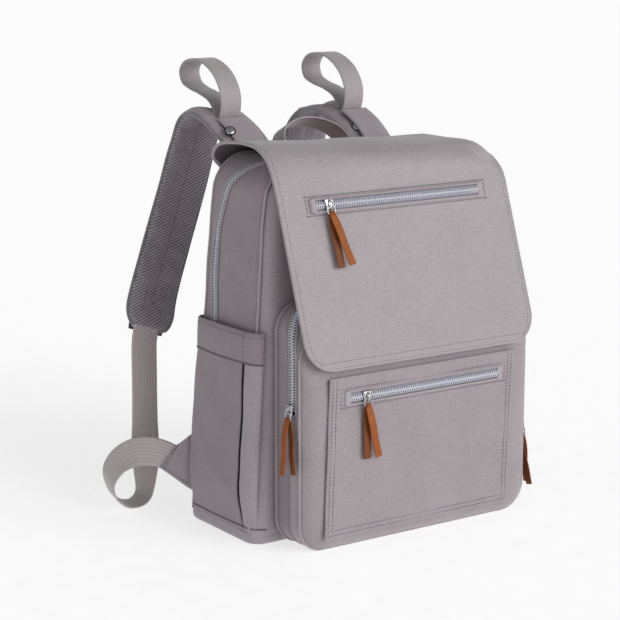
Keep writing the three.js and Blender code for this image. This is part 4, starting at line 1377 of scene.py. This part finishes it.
LEFT_PAD = [[-73, 71, 346], [-74, 84, 366], [-76, 105, 382], [-78, 130, 396], [-80, 154, 404],
            [-82, 173, 397], [-87, 184, 366], [-101, 184, 322], [-125, 180, 260],
            [-146, 173, 208], [-157, 163, 180]]
RIGHT_PAD = [[73, 71, 346], [74, 84, 366], [76, 106, 382], [78, 132, 392], [79, 158, 398],
             [78, 184, 396], [77, 207, 378], [79, 220, 342], [86, 220, 290], [98, 207, 240],
             [116, 186, 200], [128, 172, 178]]
LEFT_WEB = [[-159, 162.5, 184], [-163.5, 160, 169], [-167, 155, 130], [-169, 152, 95],
            [-171, 149, 60], [-173, 146, 32], [-178, 141, 11], [-190, 136, 4], [-206, 134, 6],
            [-219, 134, 18], [-224, 132, 36], [-217, 128, 52], [-205, 122, 61], [-194, 114, 64.5],
            [-184, 105, 64], [-174.2, 96, 60], [-167, 89, 55]]
RIGHT_WEB = [[125, 172.5, 184], [131, 167, 168], [140, 158, 130], [149, 152, 95],
             [156, 149, 60], [162, 146, 32], [170, 141, 11], [184, 136, 4], [198, 134, 6],
             [208, 134, 18], [212, 132, 36], [208, 128, 52], [201, 122, 61], [192, 114, 64.5],
             [183, 105, 64], [174.2, 96, 60], [167, 89, 55]]
# direction across the left webbing, at even steps along it
WEB_ACROSS = [[1, 0, 0], [1, 0, 0], [1, 0, 0], [1, 0, 0], [1, -0.05, 0], [0.95, -0.3, 0],
              [0.45, -0.9, 0], [0, -1, 0], [-0.2, -0.97, 0], [-0.2, -0.97, -0.1],
              [0, -0.88, -0.45], [-0.15, -0.45, -0.85], [-0.3, 0.1, -0.9], [-0.4, 0.47, -0.78]]
PAD_WIDTH = 56.0


def across_normals(points, sides):
    """Face normals of a band whose width follows the given directions along its path."""
    tangent = unit(np.gradient(points, axis=0))
    side = resample_sides(sides, len(points))
    side = unit(side - tangent * np.sum(side * tangent, axis=1, keepdims=True))
    return np.cross(side, tangent)


def resample_sides(sides, count):
    sides = np.asarray(sides, float)
    if sides.ndim == 1:
        return np.broadcast_to(sides, (count, 3))
    t = np.linspace(0, 1, len(sides))
    return np.stack([np.interp(np.linspace(0, 1, count), t, sides[:, k]) for k in range(3)], 1)


def pad_profile(width, thick, count=28):
    """Cross section of a strap with two padded channels and a sewn line between them."""
    x = np.linspace(-1, 1, count)
    lift = (1 - np.abs(2 * np.abs(x) - 1) ** 2.6) ** 0.7
    lift = np.where(np.abs(x) < 0.5, np.maximum(lift, 0.12), lift)
    top = np.stack([x * width / 2, 0.8 + lift * (thick / 2 - 0.8)], 1)
    bottom = np.stack([x[::-1] * width / 2, -0.8 - lift[::-1] * (thick / 2 - 0.8)], 1)
    return np.vstack([top, bottom])


def coordinates(mesh):
    flat = np.zeros(3 * len(mesh.vertices))
    mesh.vertices.foreach_get("co", flat)
    return flat.reshape(-1, 3) / MM


def bake(obj):
    """Puts the shape that the modifiers give into the mesh, and takes them off."""
    graph = bpy.context.evaluated_depsgraph_get()
    mesh = bpy.data.meshes.new_from_object(obj.evaluated_get(graph), depsgraph=graph)
    materials = list(obj.data.materials)
    obj.modifiers.clear()
    mesh.materials.clear()
    for material in materials:
        mesh.materials.append(material)
    obj.data = mesh


STUFFING = {"vertex_group_mass": "sewn", "use_pressure": True, "uniform_pressure_force": 4.0,
            "mass": 0.002, "quality": 8, "tension_stiffness": 4, "compression_stiffness": 4,
            "shear_stiffness": 2, "bending_stiffness": 0.05, "shrink_min": -0.08}
STEPS = 20


def stuffed(obj, sewn, cap, voxel=4.0):
    """Fills a closed soft form as its stuffing would, by cloth simulation.

    sewn takes points in millimetres and gives how firmly each is held, from 0 to 1; no point
    moves further than cap."""
    remesh = obj.modifiers.new("remesh", "REMESH")
    remesh.mode = "VOXEL"
    remesh.voxel_size = voxel * MM
    bake(obj)
    start = coordinates(obj.data)
    group = obj.vertex_groups.new(name="sewn")
    for index, weight in enumerate(sewn(start)):
        group.add([index], float(weight), "REPLACE")
    cloth = obj.modifiers.new("stuffing", "CLOTH")
    for key, value in STUFFING.items():
        setattr(cloth.settings, key, value)
    cloth.settings.effector_weights.gravity = 0
    cloth.collision_settings.use_collision = False
    cloth.point_cache.frame_start = 1
    cloth.point_cache.frame_end = STEPS
    for number in range(1, STEPS + 1):
        SCENE.frame_set(number)
    graph = bpy.context.evaluated_depsgraph_get()
    end = coordinates(obj.evaluated_get(graph).data)
    obj.modifiers.clear()
    obj.vertex_groups.clear()
    SCENE.frame_set(1)
    move = end - start
    far = np.linalg.norm(move, axis=1, keepdims=True)
    move *= np.minimum(1.0, cap / np.maximum(far, 1e-6))
    obj.data.vertices.foreach_set("co", ((start + move) * MM).ravel())
    smooth = obj.modifiers.new("smooth", "SMOOTH")
    smooth.factor = 0.5
    smooth.iterations = 2
    subdivision = obj.modifiers.new("subdivision", "SUBSURF")
    subdivision.levels = 1
    subdivision.render_levels = 1
    bake(obj)
    obj.data.shade_smooth()


def cast(obj, points, directions):
    """Where lines from the points first meet the piece, and its normals there."""
    tree = BVHTree.FromPolygons([v.co for v in obj.data.vertices],
                                [p.vertices[:] for p in obj.data.polygons])
    places, normals = [], []
    directions = np.broadcast_to(directions, (len(points), 3))
    for point, direction in zip(np.asarray(points) * MM, directions):
        hit, normal, _, _ = tree.ray_cast(Vector(point), Vector(direction))
        if hit is not None:
            places.append(np.array(hit) / MM)
            normals.append(np.array(normal))
    return np.array(places), np.array(normals)


def build_straps():
    for name, hand, pad, web in (("left", -1, LEFT_PAD, LEFT_WEB),
                                 ("right", 1, RIGHT_PAD, RIGHT_WEB)):
        body = f"{name}_strap"
        line = curve(pad, 150)
        normals = across_normals(line, (1, 0, 0))
        tangent, side, up = frames(line, normals)
        along = lengths(line)
        left_over = np.minimum(1, (along[-1] - along) / 24)
        width = 0.56 + 0.44 * np.sqrt(np.maximum(1 - (1 - left_over) ** 2, 0))
        width *= 0.8 + 0.2 * smoothstep(along / 60)
        verts, faces, _ = sweep(line, normals, pad_profile(PAD_WIDTH, 10.0), width)
        obj = make(f"{name}_strap_pad_cloth", verts, faces, [CLOTH, MESH])

        def place(points):
            """Nearest step along the strap, and the distances across and along it."""
            near = np.argmin(((points[:, None] - line[None]) ** 2).sum(2), 1)
            gap = points - line[near]
            return near, np.stack([(gap * side[near]).sum(1),
                                   along[near] + (gap * tangent[near]).sum(1)], 1)

        def sewn(points):
            near, uv = place(points)
            across = np.abs(uv[:, 0])
            edge = across > PAD_WIDTH / 2 * width[near] - 3.0
            box = (across < 12) & (uv[:, 1] > along[-1] - 42)
            return ((across < 1.8) | edge | box | (uv[:, 1] < 30)
                    | (uv[:, 1] > along[-1] - 5)).astype(float)

        stuffed(obj, sewn, 5.0)
        write_uv(obj.data, place(coordinates(obj.data))[1])
        pad_faces(obj, line, normals)
        attach(obj, body, [f"{name}_strap_pad"])

        # seam down the middle and the boxed cross that holds the webbing
        lines = []
        for face in (1, -1):
            start = line[12:-16] + up[12:-16] * 30 * face
            lines.append(cast(obj, start, -up[12:-16] * face))
            end = along[-1]
            box_lines = [(-11, -38, 11, -38), (-11, -18, 11, -18), (-11, -38, 11, -18),
                         (11, -38, -11, -18), (-11, -38, -11, -18), (11, -38, 11, -18)]
            for u0, v0, u1, v1 in box_lines:
                t = np.linspace(0, 1, 16)
                where = np.interp(end + v0 + (v1 - v0) * t, along, np.arange(len(along)))
                k = where.round().astype(int)
                spot = line[k] + side[k] * (u0 + (u1 - u0) * t)[:, None]
                spot += tangent[k] * (end + v0 + (v1 - v0) * t - along[k])[:, None]
                lines.append(cast(obj, spot + up[k] * 30 * face, -up[k] * face))
        stitches(f"{name}_strap_stitches", lines, body, pitch=3.2)

        rim = PAD_WIDTH / 2 * width - 0.8
        loop = np.vstack([line + side * rim[:, None], (line - side * rim[:, None])[::-1]])
        edge_normals = np.vstack([up, up[::-1]])
        obj = tube(f"{name}_strap_binding", loop, 1.5, BINDING, edge_normals, 8, 1.0, True)
        attach(obj, body)

        # the plastic slider that joins the pad to the webbing
        k = int(np.searchsorted(along, along[-1] - 6))
        bars = []
        for u, v, size in ((0, -4.5, (38, 3.2, 3.4)), (0, 5.5, (38, 3.2, 3.4)),
                           (-18, 0.5, (3.0, 13, 3.4)), (18, 0.5, (3.0, 13, 3.4))):
            points, bar_faces = block(size, [u, v, 6.5])
            bars.append((turned(points, line[k], [side[k], tangent[k], up[k]]), bar_faces))
        obj = make(f"{name}_strap_buckle", *joined(bars), DARK_PLASTIC)
        attach(obj, body)

        web_line = curve(web, 170)
        twist = np.array(WEB_ACROSS, float) * [-hand, 1, 1]
        obj = ribbon(f"{name}_webbing_band", web_line, across_normals(web_line, twist), 30, 1.9,
                     WEBBING, None, 10)
        attach(obj, ("bag", body, (web[3][0] * MM, web[3][1] * MM, 0.100),
                     (web[1][0] * MM, web[1][1] * MM, 0.166)), [f"{name}_webbing"])


def pad_faces(obj, line, normals):
    """Mesh cloth on the face towards the back, plain cloth on the outer face."""
    mesh = obj.data
    centres = np.array([p.center for p in mesh.polygons]) / MM
    facing = np.array([p.normal for p in mesh.polygons])
    nearest = np.argmin(((centres[:, None] - line[None]) ** 2).sum(2), 1)
    gap = ((centres - line[nearest]) * normals[nearest]).sum(1)
    outer = (facing * normals[nearest]).sum(1) + 0.2 * gap
    mesh.polygons.foreach_set("material_index", (outer < 0).astype(int))


def build_tabs():
    """Folded fabric corners that hold the lower ends of the webbing to the bag's rear edges."""
    for name, side in (("left", -1), ("right", 1)):
        root = np.array([side * 159.0, 77, 56])
        along = np.array([side * 0.645, 0.764, 0])
        out = np.array([side * 0.764, -0.645, 0])

        def at(ahead, up, off):
            return (root + np.multiply.outer(ahead, along) + np.multiply.outer(up, [0, 0, 1])
                    + out * off)

        def edge(t, share):
            low, high = (33 * t, -28 + 21 * t), (14 * t, 28 - 11 * t)
            return (low[0] + (high[0] - low[0]) * share, low[1] + (high[1] - low[1]) * share)

        share = np.linspace(0, 1, 16)
        for layer, off in (("front", 2.4), ("rear", -1.4)):
            P = np.array([at(*edge(t, share), off * smoothstep(np.array(t * 3 + 0.4)))
                          for t in np.linspace(-0.3, 1, 16)])
            obj = sheet(f"{name}_anchor_{layer}", P if off > 0 else P[:, ::-1], 1.4, CLOTH)
            attach(obj, "bag", [f"{name}_anchor_tab"] if off > 0 else ())
        inner = np.linspace(0.04, 0.96, 20)
        lines = [(at(*edge(t, inner), 2.5), out) for t in (0.86, 0.93)]
        t = np.linspace(0.12, 0.92, 20)
        lines.append((at(*edge(t, 0.07), 2.5), out))
        stitches(f"{name}_anchor_stitches", lines, "bag", pitch=3.0)


# ---- stroller loops and handle -------------------------------------------------------------


def build_loops():
    tab_line = [[71, 365], [80, 375.5], [96, 388], [110, 395.5], [122, 400.5]]
    loops = {
        "left": [[126, 400], [122, 412], [123, 426], [134, 442], [152, 453], [174, 458],
                 [195, 454], [204, 444], [200, 433], [186, 427], [166, 423], [147, 417],
                 [137, 408], [134, 401]],
        "right": [[126, 400], [122, 412], [123, 426], [134, 442], [152, 453], [174, 458],
                  [194, 454], [203, 443], [199, 431], [184, 425], [164, 421], [146, 415],
                  [137, 407], [134, 401]],
    }
    for name, x in (("left", -78), ("right", 78)):
        line = curve([[x, y, z] for y, z in tab_line], 30)
        obj = ribbon(f"{name}_loop_tab_cloth", line, across_normals(line, (1, 0, 0)), 34, 2.4,
                     CLOTH)
        attach(obj, f"{name}_strap", [f"{name}_loop_tab"])
        line = curve([[x, y, z] for y, z in loops[name]], 90)
        obj = ribbon(f"{name}_loop_band", line, across_normals(line, (1, 0, 0)), 25, 1.6,
                     LOOP_WEB, None, 10)
        attach(obj, f"{name}_stroller_loop", [f"{name}_stroller_loop"])
    side = [[40, 78, 352], [41, 85, 368], [34, 98, 383], [18, 105.5, 391]]
    line = curve([[-a, b, c] for a, b, c in side] + [[0, 107.5, 393.5]] + side[::-1], 80)
    # the handle's underside takes the darker webbing copy: painted shade
    obj = ribbon("handle_band", line, across_normals(line, (0, -0.9, 0.44)), 25, 2.4,
                 (LOOP_WEB, PAINTED_SHADE_UNDER_HANDLE), None, 10)
    attach(obj, "handle", ["handle"])
    build_snap("left", np.array([-94.0, 99, 388.5]))
    build_snap("right", np.array([64.5, 98, 383.0]))


def build_snap(name, centre):
    """A press stud: a domed cap in a dark rim."""
    axis = unit(np.array([-0.3, -0.68, 0.68]))
    centre = centre + axis * 3.0
    first = unit(np.cross(axis, [1.0, 0, 0]))
    second = np.cross(axis, first)
    for tag, lathe, material in (
            ("cap", [(0, 1.9), (2.4, 1.8), (3.9, 1.5), (4.7, 0.9), (4.9, 0.0), (0, -0.6)], STEEL),
            ("rim", [(4.6, 0.4), (5.0, 0.9), (5.6, 0.8), (6.0, 0.0), (5.6, -1.0), (0, -1.4)],
             DARK_STEEL)):
        angle = np.linspace(0, 2 * math.pi, 28, endpoint=False)[:, None]
        round_ = first * np.cos(angle) + second * np.sin(angle)
        verts = np.vstack([centre + axis * h + round_ * max(r, 0.01) for r, h in lathe])
        obj = make(f"{name}_snap_{tag}", verts, quads(len(lathe), 28, closed=True), material)
        attach(obj, f"{name}_strap", [f"{name}_snap"] if tag == "cap" else ())


# ---- floor ---------------------------------------------------------------------------------


def build_floor():
    verts = [[-20, -20, 0], [20, -20, 0], [20, 20, 0], [-20, 20, 0]]
    obj = make("floor", np.array(verts) / MM, [(0, 1, 2, 3)], floor_material())


def floor_material():
    n = Nodes("floor_paper")
    grain = n.noise(n.coords.outputs["Object"], 40.0, 2.0)
    base = n.ramp(grain, [(0.3, srgb(192, 192, 192)), (0.7, srgb(200, 200, 200))])
    return n.finish(base, 0.9, Specular_IOR_Level=0.1, Emission_Color=(1, 1, 1, 1),
                    Emission_Strength=0.63)


def dress_cad():
    """The base board is the one CAD solid that is shown as it is."""
    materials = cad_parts["base_board"].data.materials
    materials.clear()
    materials.append(BOARD)


build_floor()
build_body()
build_back()
build_pocket()
build_flap()
build_hardware()
build_side_pockets()
build_straps()
build_tabs()
build_loops()
dress_cad()

bpy.context.view_layer.update()
